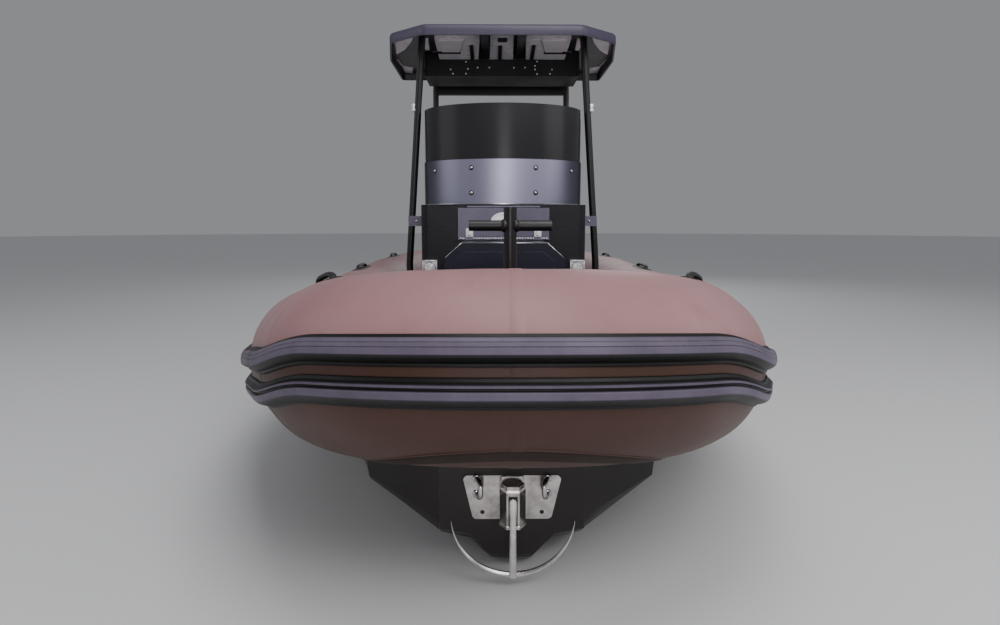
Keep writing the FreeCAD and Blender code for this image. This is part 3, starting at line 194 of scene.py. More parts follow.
edge_wear, got, out = shader_group(
    "edge_wear", [("Radius", "Float", 0.006), ("Amount", "Float", 0.6), ("Scale", "Float", 60.0)],
    [("Mask", "Float")])
soft = step(edge_wear, "ShaderNodeBevel", {"Radius": got["Radius"]}, samples=4).outputs["Normal"]
sharp = step(edge_wear, "ShaderNodeNewGeometry").outputs["Normal"]
facing = step(edge_wear, "ShaderNodeVectorMath", {0: soft, 1: sharp},
              operation="DOT_PRODUCT").outputs["Value"]
chips = above(edge_wear, noise(edge_wear, place(edge_wear), got["Scale"], 4.0), 0.42, 5.0)
worn_edge = maths(edge_wear, "MULTIPLY", above(edge_wear, facing, 0.985, -9.0), chips)
edge_wear.links.new(maths(edge_wear, "MULTIPLY", worn_edge, got["Amount"]), out["Mask"])


def use_group(tree, group, **inputs):
    """Places a group in a material with its own values."""
    return step(tree, "ShaderNodeGroup", inputs, node_tree=group).outputs


def painted(name, colour, shade, worn, roughness, scale=3.0, grain=500.0, amount=0.5, wear=0.6,
            streaks=0.0, **sockets):
    """Painted or moulded skin: two mottled screen colours, and a lighter one on worn edges."""
    material = finish(name, **sockets)
    tree = material.node_tree
    coat = use_group(tree, mottle, Colour=srgb(*colour), Shade=srgb(*shade), Scale=scale,
                     Grain=grain, Amount=amount, Roughness=roughness, Streaks=streaks)
    mask = use_group(tree, edge_wear, Amount=wear)["Mask"]
    feed(material, Base_Color=blend_colours(tree, mask, coat["Colour"], srgb(*worn)),
         Roughness=coat["Roughness"], Height=maths(tree, "MULTIPLY", coat["Height"], 0.25))
    return material


def dress(material, *names):
    """Gives CAD nodes a material in place of their plain one."""
    for name in names:
        slots = nodes[name].material_slots
        for number in range(len(slots)):
            slots[number].material = material


hull_paint = painted("hull_paint", (38, 32, 32), (25, 21, 22), (104, 96, 94), 0.42,
                     scale=1.8, grain=260.0, amount=0.75, streaks=0.5, Specular_IOR_Level=0.35)
dress(hull_paint, "hull")


# Decks
# Grey moulded panels that are bonded between the tubes. A raised tread of small lozenges keeps feet
# from slipping.

deck_tread = finish("deck_tread", Specular_IOR_Level=0.4)
tree = deck_tread.node_tree
ground = use_group(tree, mottle, Colour=srgb(66, 66, 71), Shade=srgb(46, 46, 51), Scale=3.0,
                   Grain=420.0, Amount=0.6, Roughness=0.66)
crossed = place(tree, (38, 38, 38), (0, 0, math.radians(45)))
lozenges = step(tree, "ShaderNodeTexVoronoi", {"Vector": crossed, "Scale": 1.0, "Randomness": 0.0},
                distance="CHEBYCHEV").outputs["Distance"]
feed(deck_tread, Base_Color=ground["Colour"], Roughness=ground["Roughness"],
     Height=maths(tree, "ADD", above(tree, lozenges, 0.42, -9.0),
                  maths(tree, "MULTIPLY", ground["Height"], 0.3)))
dress(deck_tread, "cockpit_deck", "foredeck")


# Collar
# Five air chambers of coated fabric with butted ends under wide tapes. Each chamber is a round tube
# along a line of straight runs and round bends, pinched a little where it meets the next.

tube_radius = 0.306
tube_corners = np.array([(0, -3.411, 0.826), (0.4435, -3.411, 0.826), (0.9874, -2.1944, 0.615),
                         (1.056, 0.890, 0.615), (1.056, 3.250, 0.575)])
tube_bends = (0.572, 3.000, 5.000)


def unit(vector):
    """The vector over its length."""
    return vector / np.linalg.norm(vector)


def rotated(vector, axis, t):
    """The vector v turned by t about an axis n: v cos t + (n x v) sin t + n (n . v)(1 - cos t)."""
    cos, sin = np.cos(t)[..., None], np.sin(t)[..., None]
    return vector * cos + np.cross(axis, vector) * sin + axis * (axis @ vector) * (1 - cos)


def bent_line(corners, bends, pitch):
    """Stations along straight runs joined by round bends: centres and frames (along, out, up). In a
    bend the frame's vectors turn about the bend's axis, and the centre about the bend's own."""
    corners = np.asarray(corners, float)
    first = unit(corners[1] - corners[0])
    up = unit(np.cross(first, unit(corners[2] - corners[1])))
    frames = np.stack([first, np.cross(first, up), up])
    centres, turns = [], []
    start = corners[0]
    for before, corner, after, radius in zip(corners, corners[1:], corners[2:], bends):
        coming, leaving = unit(corner - before), unit(after - corner)
        axis = unit(np.cross(coming, leaving))
        angle = np.arccos(np.clip(coming @ leaving, -1, 1))
        begin = corner - coming * radius * np.tan(angle / 2)
        share = np.linspace(0, 1, max(2, int(np.linalg.norm(begin - start) / pitch)),
                            endpoint=False)
        middle = begin + np.cross(axis, coming) * radius
        t = np.linspace(0, angle, max(7, int(angle * radius / pitch)), endpoint=False)
        centres += [start + share[:, None] * (begin - start),
                    middle + rotated(begin - middle, axis, t)]
        turns += [np.broadcast_to(frames, (len(share), 3, 3)),
                  np.stack([rotated(vector, axis, t) for vector in frames], axis=1)]
        frames = np.stack([rotated(vector, axis, angle) for vector in frames])
        start = corner + leaving * radius * np.tan(angle / 2)
    share = np.linspace(0, 1, max(2, int(np.linalg.norm(corners[-1] - start) / pitch)))
    centres.append(start + share[:, None] * (corners[-1] - start))
    turns.append(np.broadcast_to(frames, (len(share), 3, 3)))
    return np.concatenate(centres), np.concatenate(turns)


def lengths(points):
    """Distance along a line of points."""
    return np.concatenate([[0], np.cumsum(np.linalg.norm(np.diff(points, axis=0), axis=1))])


def skin(name, *grids, sharp=None):
    """One piece of closed surfaces, each through a grid of points: rows along it, columns round it.

    The columns close on themselves, and each end row gets a pole at its middle. A corner's UV is
    its distance along the first column and round the widest row, in metres.
    """
    points, faces, uvs, count = [], [], [], 0
    for grid in grids:
        rows, columns = grid.shape[:2]
        u = lengths(grid[:, 0])
        widest = grid[np.argmax(np.ptp(grid, axis=1).sum(-1))]
        v = lengths(np.concatenate([widest, widest[:1]]))
        i, j = (part.ravel() for part in np.meshgrid(np.arange(rows - 1), np.arange(columns),
                                                     indexing="ij"))
        along, around = np.stack([i, i, i + 1, i + 1], -1), np.stack([j, j + 1, j + 1, j], -1)
        quads = along * columns + around % columns
        uv = np.stack([u[along], v[around]], -1)
        k, last, pole = np.arange(columns), (rows - 1) * columns, rows * columns
        after = (k + 1) % columns
        fans = np.concatenate([np.stack([after, k, 0 * k + pole], -1),
                               np.stack([last + k, last + after, 0 * k + pole + 1], -1)])
        here = np.concatenate([grid.reshape(-1, 3), grid[[0, -1]].mean(1)])
        centre = here.mean(0)
        a, b, c, d = (here[quads[:, n]] - centre for n in range(4))
        e, f, g = (here[fans[:, n]] - centre for n in range(3))
        volume = sum(np.einsum("ij,ij->", one, np.cross(two, three))
                     for one, two, three in ((a, b, c), (a, c, d), (e, f, g)))
        if volume < 0:
            quads, fans, uv = quads[:, ::-1], fans[:, ::-1], uv[:, ::-1]
        points.append(here)
        faces += (quads + count).tolist() + (fans + count).tolist()
        uvs += [uv.reshape(-1, 2), np.zeros((fans.size, 2))]
        count += len(here)
    mesh = bpy.data.meshes.new(name)
    mesh.from_pydata(np.concatenate(points).tolist(), [], faces)
    layer = mesh.uv_layers.new(name="surface")
    layer.data.foreach_set("uv", np.concatenate(uvs).ravel().astype(np.float32))
    mesh.polygons.foreach_set("use_smooth", np.ones(len(mesh.polygons), bool))
    if sharp is not None:
        mesh.set_sharp_from_angle(angle=math.radians(sharp))
    piece = bpy.data.objects.new(name, mesh)
    bpy.context.scene.collection.objects.link(piece)
    return piece


def fit(piece, material, slot, body="boat", instead_of=None):
    """Finishes a piece: its material and body, and hides the node that it stands for. The slot is
    not used.
    """
    piece.data.materials.append(material)
    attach(piece, body)
    if instead_of:
        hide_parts(instead_of)
    return piece


def on_tube(centres, frames, angles, heights):
    """Points over the tube at angles and heights: centre + (radius + h)(cos a out + sin a up)."""
    angles, heights = np.radians(angles), tube_radius + np.asarray(heights)
    return (centres[:, None] + (heights * np.cos(angles))[..., None] * frames[:, None, 1]
            + (heights * np.sin(angles))[..., None] * frames[:, None, 2])


half_line, half_frames = bent_line(tube_corners, tube_bends, 0.02)
half_run = lengths(half_line)


def along_tube(run, side=1):
    """Centres and frames of the tube at distances from the bow, on one side or over the bow."""
    centres = np.stack([np.interp(np.abs(run), half_run, half_line[:, n]) for n in range(3)], -1)
    frames = np.stack([[np.interp(np.abs(run), half_run, half_frames[:, m, n]) for n in range(3)]
                       for m in range(3)], 0).transpose(2, 0, 1)
    flip = np.where(run < 0, -1, 1)[:, None] * np.array([side, 0, 0]) + np.array([0, 1, 1])
    frames = frames / np.linalg.norm(frames, axis=2, keepdims=True)
    return centres * flip, frames * flip[:, None]


def stations(begin, stop, pitch=0.03, side=1):
    """The tube's centres, frames and distances at even steps between two distances."""
    run = np.linspace(begin, stop, max(2, int((stop - begin) / pitch)))
    return *along_tube(run, side), run


collar_fabric = finish("collar_fabric", Sheen_Weight=0.03, Sheen_Roughness=0.5,
                       Specular_IOR_Level=0.3)
tree = collar_fabric.node_tree
# Painted shade: where the mark is 0, below the upper strake, the fabric is painted dark brown for
# the strake's shadow and the shade under the tube; above it the fabric is pale.
painted_light_fac = step(tree, "ShaderNodeAttribute", attribute_name="painted_light_share").outputs["Fac"]
bright = blend_colours(tree, painted_light_fac, srgb(76, 50, 42), srgb(162, 122, 124))
dull = blend_colours(tree, painted_light_fac, srgb(58, 38, 31), srgb(136, 97, 98))
cloth = use_group(tree, mottle, Colour=bright, Shade=dull, Scale=1.3, Grain=1100.0, Amount=0.6,
                  Roughness=0.48, Streaks=0.3)
feed(collar_fabric, Base_Color=cloth["Colour"], Roughness=cloth["Roughness"],
     Height=maths(tree, "MULTIPLY", cloth["Height"], 0.22))


def run_at(y):
    """The distance from the bow at which the tube's centreline passes a station y."""
    return float(np.interp(y, half_line[:, 1], half_run))


bow_straight, bow_bend, split_y = 0.0704, 1.1559, 0.775
corner_cut = bow_straight + tube_bends[0] * bow_bend
split_cut = run_at(split_y)
end_cut = half_run[-1]
full_turn = np.linspace(0, 360, 96, endpoint=False)


def eased(value, low, high):
    """0 below low, 1 above high and a half wave between."""
    return (1 - np.cos(np.pi * np.clip((value - low) / (high - low), 0, 1))) / 2


def slide(run):
    """Degrees that the strakes slip down: 8.5 round the corner and 3.5 more along the side."""
    return 8.5 * eased(np.abs(run), 0.43, 0.70) + 3.5 * eased(np.abs(run), 0.70, 1.60)


def mark(piece, name, values):
    """Keeps one number a vertex on a piece, for its material to read."""
    layer = piece.data.attributes.new(name, "FLOAT", "POINT")
    layer.data.foreach_set("value", np.asarray(values, np.float32))
    return piece


def mark_painted_light(piece, run, angles):
    """Marks where the fabric keeps its pale colour: the tube above the upper strake's middle, at 11
    degrees. Below it the mark is 0 and the colour is painted shade.
    """
    height = (angles[None] + 180) % 360 - 180
    height = np.where(height > 90, 180 - height, height)
    painted_light_share = eased(height + slide(run)[:, None], 5, 11)
    return mark(piece, "painted_light_share", np.concatenate([painted_light_share.ravel(), [painted_light_share[0].mean(), painted_light_share[-1].mean()]]))


def nose_of(tail, centre, frame_there):
    """Rings of (distance, radius) that carry the tube on past its end."""
    return on_tube(centre + tail[:, :1] * frame_there[0],
                   np.broadcast_to(frame_there, (len(tail), 3, 3)), full_turn[None],
                   tail[:, 1:] - tube_radius)


def chamber(name, node, begin, stop, side, tail=None):
    """A tube whose radius draws in by 3 mm over the last few centimetres at each end."""
    centres, frames, run = stations(begin, stop, 0.025, side)
    pinch = -0.003 * (np.exp(-((run - begin) / 0.035) ** 2) + np.exp(-((run - stop) / 0.035) ** 2))
    ripple = 0.0007 * np.sin(run * 23)[:, None] * np.sin(np.radians(full_turn) * 3 + 1)[None]
    grid = on_tube(centres, frames, full_turn[None], pinch[:, None] + ripple)
    if tail is not None:
        grid = np.concatenate([grid, nose_of(tail, centres[-1], frames[-1])])
        run = np.concatenate([run, np.full(len(tail), run[-1])])
    return fit(mark_painted_light(skin(name, grid), run, full_turn), collar_fabric, "collar_fabric",
               instead_of=node)


cone_long, cone_foot, cone_end = 0.46, 0.303, 0.120
cone_arc = np.radians(np.linspace(0, 84, 10))
taper = np.stack([np.linspace(0.01, cone_long, 16), np.linspace(cone_foot, cone_end, 16)], -1)
cap = np.stack([cone_long + 0.118 * np.sin(cone_arc), cone_end * np.cos(cone_arc)], -1)
cone = np.concatenate([taper, cap[1:]])
chamber("bow_chamber", "collar_bow", -corner_cut, corner_cut, 1)
for side, word in ((1, "port"), (-1, "starboard")):
    chamber("forward_chamber_" + word, "collar_forward_" + word, corner_cut, split_cut, side)
    chamber("aft_chamber_" + word, "collar_aft_" + word, split_cut, end_cut, side, cone)


# Collar tapes
# Wide strips of the same fabric glued over each joint, one down the middle of the bow, a doubled
# strip below that holds the collar to the hull, and rubber caps on the tail cones.

flap_rubber = painted("flap_rubber", (47, 35, 31), (35, 26, 23), (80, 62, 56), 0.6, scale=5.0,
                      grain=500.0, wear=0.2, Specular_IOR_Level=0.2)
tape_thick, tape_sink, tape_half = 0.0016, 0.004, 0.045


def tape(begin, stop, side=1):
    """A ring round the tube between two distances along it, its edges sunk into the fabric."""
    centres, frames, run = stations(begin, stop, 0.012, side)
    high = np.full(len(run), tape_thick)
    high[[0, -1]] = -tape_sink
    return on_tube(centres, frames, full_turn[None], high[:, None]), run


def strip(begin, stop, low, high, thick, side=1, dive=0.0):
    """A band along the tube between two angles round it. It turns under the tube by the dive times
    the square of the distance from the bow."""
    centres, frames, run = stations(begin, stop, 0.03, side)
    angles = np.concatenate([np.linspace(low, high, 9), [high, low]])
    heights = np.concatenate([[0], np.full(7, thick), [0], [-tape_sink, -tape_sink]])
    return on_tube(centres, frames, angles[None] - dive * run[:, None] ** 2, heights[None])


def add(name, material, slot, *grids, sharp=None, **kept):
    """Builds a piece of closed surfaces and finishes it."""
    return fit(skin(name, *grids, sharp=sharp), material, slot, **kept)


rings = [("bow", -0.034, 0.034, 1)]
for side, word in ((1, "port"), (-1, "starboard")):
    rings += [("corner_" + word, corner_cut - tape_half, corner_cut + tape_half, side),
              ("middle_" + word, split_cut - tape_half, split_cut + tape_half, side),
              ("tail_" + word, end_cut - 0.05, end_cut - 0.002, side)]
for word, begin, stop, side in rings:
    ring, run = tape(begin, stop, side)
    # The tapes take the collar's painted shade below the upper strake.
    fit(mark_painted_light(skin("collar_tape_" + word, ring, sharp=30), run, full_turn), collar_fabric,
        "collar_fabric")
# Without the mark, this edge takes the collar's painted-shade colour all over.
add("collar_flap_edge", collar_fabric, "collar_fabric",
    strip(-0.5, 0.5, -46.6, -45.2, 0.0020, dive=136.0), sharp=30)
add("collar_flap", flap_rubber, "strake_rubber", strip(-0.5, 0.5, -57.5, -46.8, 0.0045, dive=136.0),
    *(strip(0.7, end_cut - 0.2, -74, -66, 0.0035, side) for side in (1, -1)), sharp=30)
caps = []
for side in (1, -1):
    centres, frames, run = stations(end_cut - 0.01, end_cut, 0.005, side)
    nose = cone[8:] + (0, 0.003)
    nose = np.concatenate([[(nose[0, 0] - 0.004, nose[0, 1] - 0.006)], nose])
    caps.append(nose_of(nose, centres[-1], frames[-1]))
add("tail_caps", flap_rubber, "strake_rubber", *caps, sharp=50)


# Rubbing strakes
# Two extruded rubber fenders with a thin lip above, a grooved face and an underside, glued
# round the collar from one quarter to the other. Painted shade darkens the lips, the grooves and
# the underside almost to black.

strake_rubber = finish("strake_rubber", Specular_IOR_Level=0.36)
tree = strake_rubber.node_tree
rubber = use_group(tree, mottle, Colour=srgb(99, 89, 108), Shade=srgb(68, 61, 74), Scale=5.0,
                   Grain=420.0, Amount=0.6, Roughness=0.5, Streaks=0.4)
rim = use_group(tree, edge_wear, Amount=0.35, Radius=0.004)["Mask"]
# Painted shade: the profile's third column blends the rubber towards near black.
painted_shade_share = step(tree, "ShaderNodeAttribute", attribute_name="shade").outputs["Fac"]
face_tone = blend_colours(tree, rim, rubber["Colour"], srgb(124, 118, 128))
feed(strake_rubber, Base_Color=blend_colours(tree, painted_shade_share, face_tone, srgb(11, 10, 11)),
     Roughness=rubber["Roughness"], Height=maths(tree, "MULTIPLY", rubber["Height"], 0.3))


def strake(name, node, middle, half, section):
    """A profile of (place across it, height, painted shade) carried round the collar: the painted
    shade blackens the lips, grooves and underside. It slips down the tube round the corner."""
    section = np.array(section)
    across = np.linspace(-1, 1, 97)
    height = np.interp(across, section[:, 0], section[:, 1]) * 0.001
    shade = np.interp(across, section[:, 0], section[:, 2])
    centres, frames, run = stations(-(end_cut - 0.001), end_cut - 0.001, 0.022)
    angles = middle + half * np.concatenate([across, [0.99, -0.99]])[None] - slide(run)[:, None]
    heights = np.concatenate([height, [-tape_sink, -tape_sink]])
    grid = on_tube(centres, frames, angles, heights[None])
    piece = skin(name, grid, sharp=35)
    tone = np.concatenate([np.tile(np.concatenate([shade, [1, 1]]), len(grid)), [1, 1]])
    return fit(mark(piece, "shade", tone), strake_rubber, "strake_rubber", instead_of=node)


strake("upper_rubbing_strake", "strake_upper", 11.3, 8.5,
       [(-1.0, 2, 1), (-0.97, 7, 1), (-0.80, 9, 1), (-0.66, 22, 1), (-0.50, 33, 1),
        (-0.38, 36.5, 0.9), (-0.33, 37, 0), (0.02, 37.5, 0), (0.045, 35, 0.5), (0.08, 37, 0),
        (0.29, 36, 0), (0.32, 33.5, 0.5), (0.36, 35, 0), (0.58, 30, 0), (0.66, 24, 0.85),
        (0.74, 12, 1), (0.97, 8, 1), (1.0, 2, 1)])
strake("lower_rubbing_strake", "strake_lower", -10.55, 8.35,
       [(-1.0, 2, 1), (-0.97, 7, 1), (-0.80, 8, 1), (-0.62, 20, 1), (-0.40, 31, 1),
        (-0.22, 36, 0.85), (-0.14, 37, 0), (0.22, 37, 0), (0.27, 33, 0.6), (0.31, 25, 1),
        (0.43, 25, 1), (0.47, 33, 0.1), (0.59, 33, 0.1), (0.64, 24, 1), (0.76, 14, 1), (0.97, 8, 1),
        (1.0, 2, 1)])


# Bow plate
# A polished plate of stainless steel on the stem that carries the anchor's stowage. Two sunk screws
# hold it.

def brushed(name, colour, shade, lines, roughness, scale=4.0, depth=1.0, **sockets):
    """Bare metal with fine lines: noise stretched along them, with a density given each way."""
    material = finish(name, Metallic=1.0, **sockets)
    tree = material.node_tree
    tone = use_group(tree, mottle, Colour=srgb(*colour), Shade=srgb(*shade), Scale=scale,
                     Grain=200.0, Amount=0.9, Roughness=roughness)
    fine = noise(tree, place(tree, lines), 1.0, 3.0, 0.7)
    spread = maths(tree, "MULTIPLY", maths(tree, "SUBTRACT", fine, 0.5), 0.3 * depth)
    uneven = maths(tree, "ADD", tone["Roughness"], spread)
    feed(material, Base_Color=tone["Colour"], Roughness=uneven,
         Height=maths(tree, "MULTIPLY", fine, 0.12 * depth))
    return material


def turned(profile, centre, axis, columns=32):
    """A profile of (radius, height) turned about an axis: centre + h n + r (cos t a + sin t b)."""
    axis = unit(np.array(axis, float))
    side = unit(np.cross(axis, (0.13, 0.91, 0.39)))
    t = np.linspace(0, 2 * np.pi, columns, endpoint=False)
    ring = np.cos(t)[:, None] * side + np.sin(t)[:, None] * np.cross(axis, side)
    profile = np.asarray(profile, float)
    return np.asarray(centre) + profile[:, 1, None, None] * axis + profile[:, 0, None, None] * ring


def dome(centre, axis, radius, height, columns=20):
    """A low round screw head: a quarter ellipse turned about its axis, its foot sunk by 2 mm."""
    t = np.radians(np.linspace(0, 80, 6))
    profile = np.stack([radius * np.cos(t), height * np.sin(t)], -1)
    return turned(np.concatenate([[(radius, -0.002)], profile]), centre, axis, columns)


bow_steel = brushed("bow_steel", (196, 190, 188), (112, 105, 103), (6, 6, 260), 0.16, 13.0, 0.5)
dress(bow_steel, "bow_plate")
dark_gap = painted("dark_gap", (24, 22, 23), (15, 14, 15), (50, 48, 48), 0.6, scale=20.0)
plate_face, plate_screw_x, plate_screw_z = -3.169, 0.107, 0.237
ahead = (0, -1, 0)
add("bow_plate_screws", dark_gap, "black_coat",
    *(dome((side * plate_screw_x, plate_face, plate_screw_z), ahead, 0.008, 0.0025)
      for side in (1, -1)))


# Towing eyes
# Two bent rods of stainless steel, each of them welded to the bow plate at both ends in small round
# collars.

screw_steel = brushed("screw_steel", (200, 200, 204), (150, 150, 156), (200, 200, 200), 0.22)
eye_steel = brushed("eye_steel", (210, 206, 204), (150, 146, 144), (220, 220, 220), 0.2, 30.0, 0.3)


def pipe(corners, bends, radius, columns=16, pitch=0.03):
    """A round tube along straight runs and round bends: centre + r (cos t * out + sin t * up)."""
    line, frames = bent_line(corners, bends, pitch)
    t = np.linspace(0, 2 * np.pi, columns, endpoint=False)
    return (line[:, None] + radius * np.cos(t)[None, :, None] * frames[:, None, 1]
            + radius * np.sin(t)[None, :, None] * frames[:, None, 2])


foot_x, eye_x, eye_y, eye_low, eye_high = 0.128, 0.112, -3.216, 0.308, 0.364
rod = [(foot_x, plate_face + 0.001, eye_low), (eye_x, eye_y, eye_low - 0.004),
       (eye_x, eye_y, eye_high + 0.004), (foot_x, plate_face + 0.001, eye_high)]
eyes = [pipe([(side * x, y, z) for x, y, z in rod], [0.024, 0.024], 0.0095, 18, 0.006)
        for side in (1, -1)]
add("towing_eye_rods", eye_steel, "polished_steel", *eyes, instead_of="towing_eyes")
weld = [(0.0145, -0.001), (0.0145, 0.002), (0.0115, 0.0045)]
add("towing_eye_welds", screw_steel, "polished_steel",
    *(turned(weld, (side * foot_x, plate_face, z), ahead)
      for side in (1, -1) for z in (eye_low, eye_high)))


# Anchor housing and anchor
# A hexagonal pipe of stainless steel under a cap, open down its front, with the forged anchor drawn
# up into it: a bevelled shank with a rounded head, and a crescent of arms with two points.

def block(low, high, radius, steps=4):
    """A box with rounded edges: each eighth of a ball of the radius, moved out to its corner."""
    low, high = np.array(low, float), np.array(high, float)
    lat = np.radians(np.concatenate([np.linspace(-90, 0, steps), np.linspace(0, 90, steps)]))
    lon = np.radians(np.concatenate([np.linspace(0, 90, steps) + 90 * k for k in range(4)]))
    normal = np.stack(np.broadcast_arrays(np.cos(lat)[:, None] * np.cos(lon),
                                          np.cos(lat)[:, None] * np.sin(lon),
                                          np.sin(lat)[:, None] + 0 * lon), -1)
    quarter = np.repeat(np.arange(4), steps)
    sign = np.stack(np.broadcast_arrays(np.where((quarter == 0) | (quarter == 3), 1, -1)[None],
                                        np.where(quarter < 2, 1, -1)[None],
                                        np.repeat([-1, 1], steps)[:, None]), -1)
    return (low + high) / 2 + sign * ((high - low) / 2 - radius) + radius * normal


housing_steel = brushed("housing_steel", (204, 196, 194), (120, 113, 111), (300, 300, 8),
                        0.14, 16.0, 0.5)
dress(housing_steel, "anchor_housing")
cap_steel = brushed("cap_steel", (236, 230, 228), (196, 190, 188), (80, 80, 80), 0.3, 16.0, 0.3)
housing_y = -3.244
sixths = np.radians(np.arange(6) * 60)
hexagon = np.stack([np.cos(sixths), np.sin(sixths)], -1)


def at_height(ring, z):
    """A line of (x, y) points as a ring at one height."""
    return np.concatenate([ring, np.full((len(ring), 1), z)], 1)


def six_sided(*rows):
    """Hexagons of (size, height) about the housing's line."""
    return np.stack([at_height((0, housing_y) + hexagon * size, z) for size, z in rows])


add("anchor_housing_cap", cap_steel, "polished_steel",
    six_sided((0.0425, 0.3520), (0.0437, 0.3545), (0.0437, 0.3570), (0.0362, 0.3755),
              (0.033, 0.3785)),
    block((-0.0375, plate_face - 0.013, 0.3565), (0.0375, plate_face, 0.3758), 0.002), sharp=30)
add("anchor_housing_foot", housing_steel, "polished_steel",
    six_sided((0.0455, 0.2245), (0.0472, 0.2255), (0.0472, 0.233), (0.0455, 0.238)), sharp=30)
# A dark block in the housing's open front: painted shade for the inside of the slot.
add("anchor_slot_shade", dark_gap, "black_coat",
    block((-0.0165, -3.2842, 0.2245), (0.0165, -3.276, 0.345), 0.003))
anchor_steel = brushed("anchor_steel", (232, 228, 226), (170, 165, 163), (120, 120, 120),
                       0.3, 14.0, 0.4)
arms_middle, arms_radius, arm_reach = np.array((0, -3.277, 0.2715)), 0.213, 85.4
arm_turn = np.radians(np.linspace(-arm_reach, arm_reach, 81))
thin = 1 - 0.88 * (np.abs(arm_turn) / arm_turn[-1]) ** 1.6
section = np.array([(-1, -0.35), (-1, 0.35), (-0.5, 1), (0.5, 1), (1, 0.35), (1, -0.35), (0.5, -1),
                    (-0.5, -1)])
outward = np.stack([np.sin(arm_turn), 0 * arm_turn, -np.cos(arm_turn)], -1)
arm_half_deep, arm_half_wide = 0.0085, 0.010
deep = section[None, :, 1:] * arm_half_deep * thin[:, None, None]
wide = section[None, :, :1] * arm_half_wide * (0.35 + 0.65 * thin[:, None, None])
arms = arms_middle + (arms_radius + deep) * outward[:, None] + wide * np.array((0, 1, 0))
shank_rows = np.array([(0.013, 0.050), (0.016, 0.054), (0.0125, 0.072), (0.0105, 0.235),
                       (0.0125, 0.300), (0.0115, 0.325), (0.008, 0.334), (0.003, 0.338)])
section = np.array([(-1, -0.6), (-0.6, -1), (0.6, -1), (1, -0.6), (1, 1), (-1, 1)])
shank_y, shank_half_deep = -3.279, 0.011
shank = np.stack(np.broadcast_arrays(section[:, 0] * shank_rows[:, :1],
                                     shank_y + section[:, 1] * shank_half_deep,
                                     shank_rows[:, 1:]), -1)
add("anchor_crescent", anchor_steel, "polished_steel", arms, shank, sharp=25, instead_of="anchor")


# Samson post
# A black coated pipe on a foot flange, with a crossbar through its head and a weld fillet round it.

pipe_coat = painted("pipe_coat", (23, 21, 24), (16, 15, 17), (84, 81, 84), 0.34, scale=6.0,
                    grain=420.0, wear=0.8)
dress(pipe_coat, "samson_post")
upward = (0, 0, 1)
post_y, post_foot_z, crossbar_z = -2.811, 0.752, 1.258
fillet = [(0.0265, 0.012), (0.0275, 0.024), (0.0225, 0.034), (0.0205, 0.036)]
fillets = [turned([(r, side * h) for r, h in fillet], (0, post_y, crossbar_z), (1, 0, 0))
           for side in (1, -1)]
fillets.append(turned([(0.034, 0.0), (0.034, 0.004), (0.029, 0.012), (0.0255, 0.02)],
                      (0, post_y, post_foot_z), upward))
bolt_circle, bolt_z = 0.046, post_foot_z - 0.0005
fillets += [dome((bolt_circle * math.cos(t), post_y + bolt_circle * math.sin(t), bolt_z), upward,
                 0.007, 0.005) for t in np.radians([45, 135, 225, 315])]
fillets += [dome((side * 0.1625, post_y, crossbar_z), (side, 0, 0), 0.0195, 0.0006)
            for side in (1, -1)]
add("samson_post_fillets", pipe_coat, "black_coat", *fillets)


# Grab handles
# Low bars of black rubber moulded round webbing. Each stands on a long oval pad that is glued to
# the collar.

grip_rubber = painted("grip_rubber", (32, 28, 28), (20, 18, 18), (66, 60, 60), 0.55, scale=12.0,
                      grain=700.0)
handle_angle = 80
pad_half, grip_half, pad_width = 0.225, 0.175, 0.052
ends = np.linspace(-1, 1, 33)
ring_turn = np.linspace(0, 2 * np.pi, 20, endpoint=False)
pad_section = np.array([(-1, -0.004), (-1, 0.001), (-0.9, 0.004), (-0.35, 0.006), (0.35, 0.006),
                        (0.9, 0.004), (1, 0.001), (1, -0.004)])
half_wide = pad_width * np.sqrt(np.clip(1 - ends ** 4, 0.0004, 1))[:, None] / tube_radius
swell = 1 + 0.25 * np.cos(ends * np.pi / 2)[:, None]
grip_spread = 0.013 * swell * np.sin(ring_turn) / tube_radius
grip_rise = 0.027 * (1 - np.abs(ends) ** 5)[:, None] - 0.002
handle_pads, handle_grips = [], []
for side in (1, -1):
    for middle in corner_cut + np.array([0.163, 2.7487, 4.5511]):
        handle_pads.append(on_tube(*along_tube(middle + pad_half * ends, side),
                                   handle_angle + np.degrees(half_wide * pad_section[:, 0]),
                                   pad_section[:, 1]))
        handle_grips.append(on_tube(*along_tube(middle + grip_half * ends, side),
                                    handle_angle + np.degrees(grip_spread),
                                    grip_rise + 0.0085 * swell * np.cos(ring_turn)))
add("handle_pads", grip_rubber, "grip_rubber", *handle_pads, sharp=50)
add("handle_grips", grip_rubber, "grip_rubber", *handle_grips, instead_of="collar_handles")


# Foredeck lid
# A raised aluminium lid over the anchor locker that swings on two knuckles. It has an inset tread
# and a flush lifting ring.

console_paint = painted("console_paint", (25, 24, 31), (18, 17, 23), (80, 78, 88), 0.42, scale=2.6,
                        grain=380.0, amount=0.7, streaks=0.2, Specular_IOR_Level=0.32)
dress(console_paint, "foredeck_lid")
lid_top = 0.760
add("foredeck_lid_tread", deck_tread, "deck_tread",
    block((-0.17, -2.66, lid_top), (0.17, -2.40, lid_top + 0.0055), 0.0025), sharp=40,
    body="foredeck_lid")
add("foredeck_lid_ring", screw_steel, "polished_steel",
    turned([(0.022, -0.001), (0.022, 0.003), (0.018, 0.004), (0.012, 0.0035)],
           (0, -2.365, lid_top + 0.002), upward), body="foredeck_lid")


# Front locker
# A moulded locker bolted before the console: a folded blue grey shell with a flat top. A thin
# bright steel bar along its shoulders is a painted highlight on its edges.

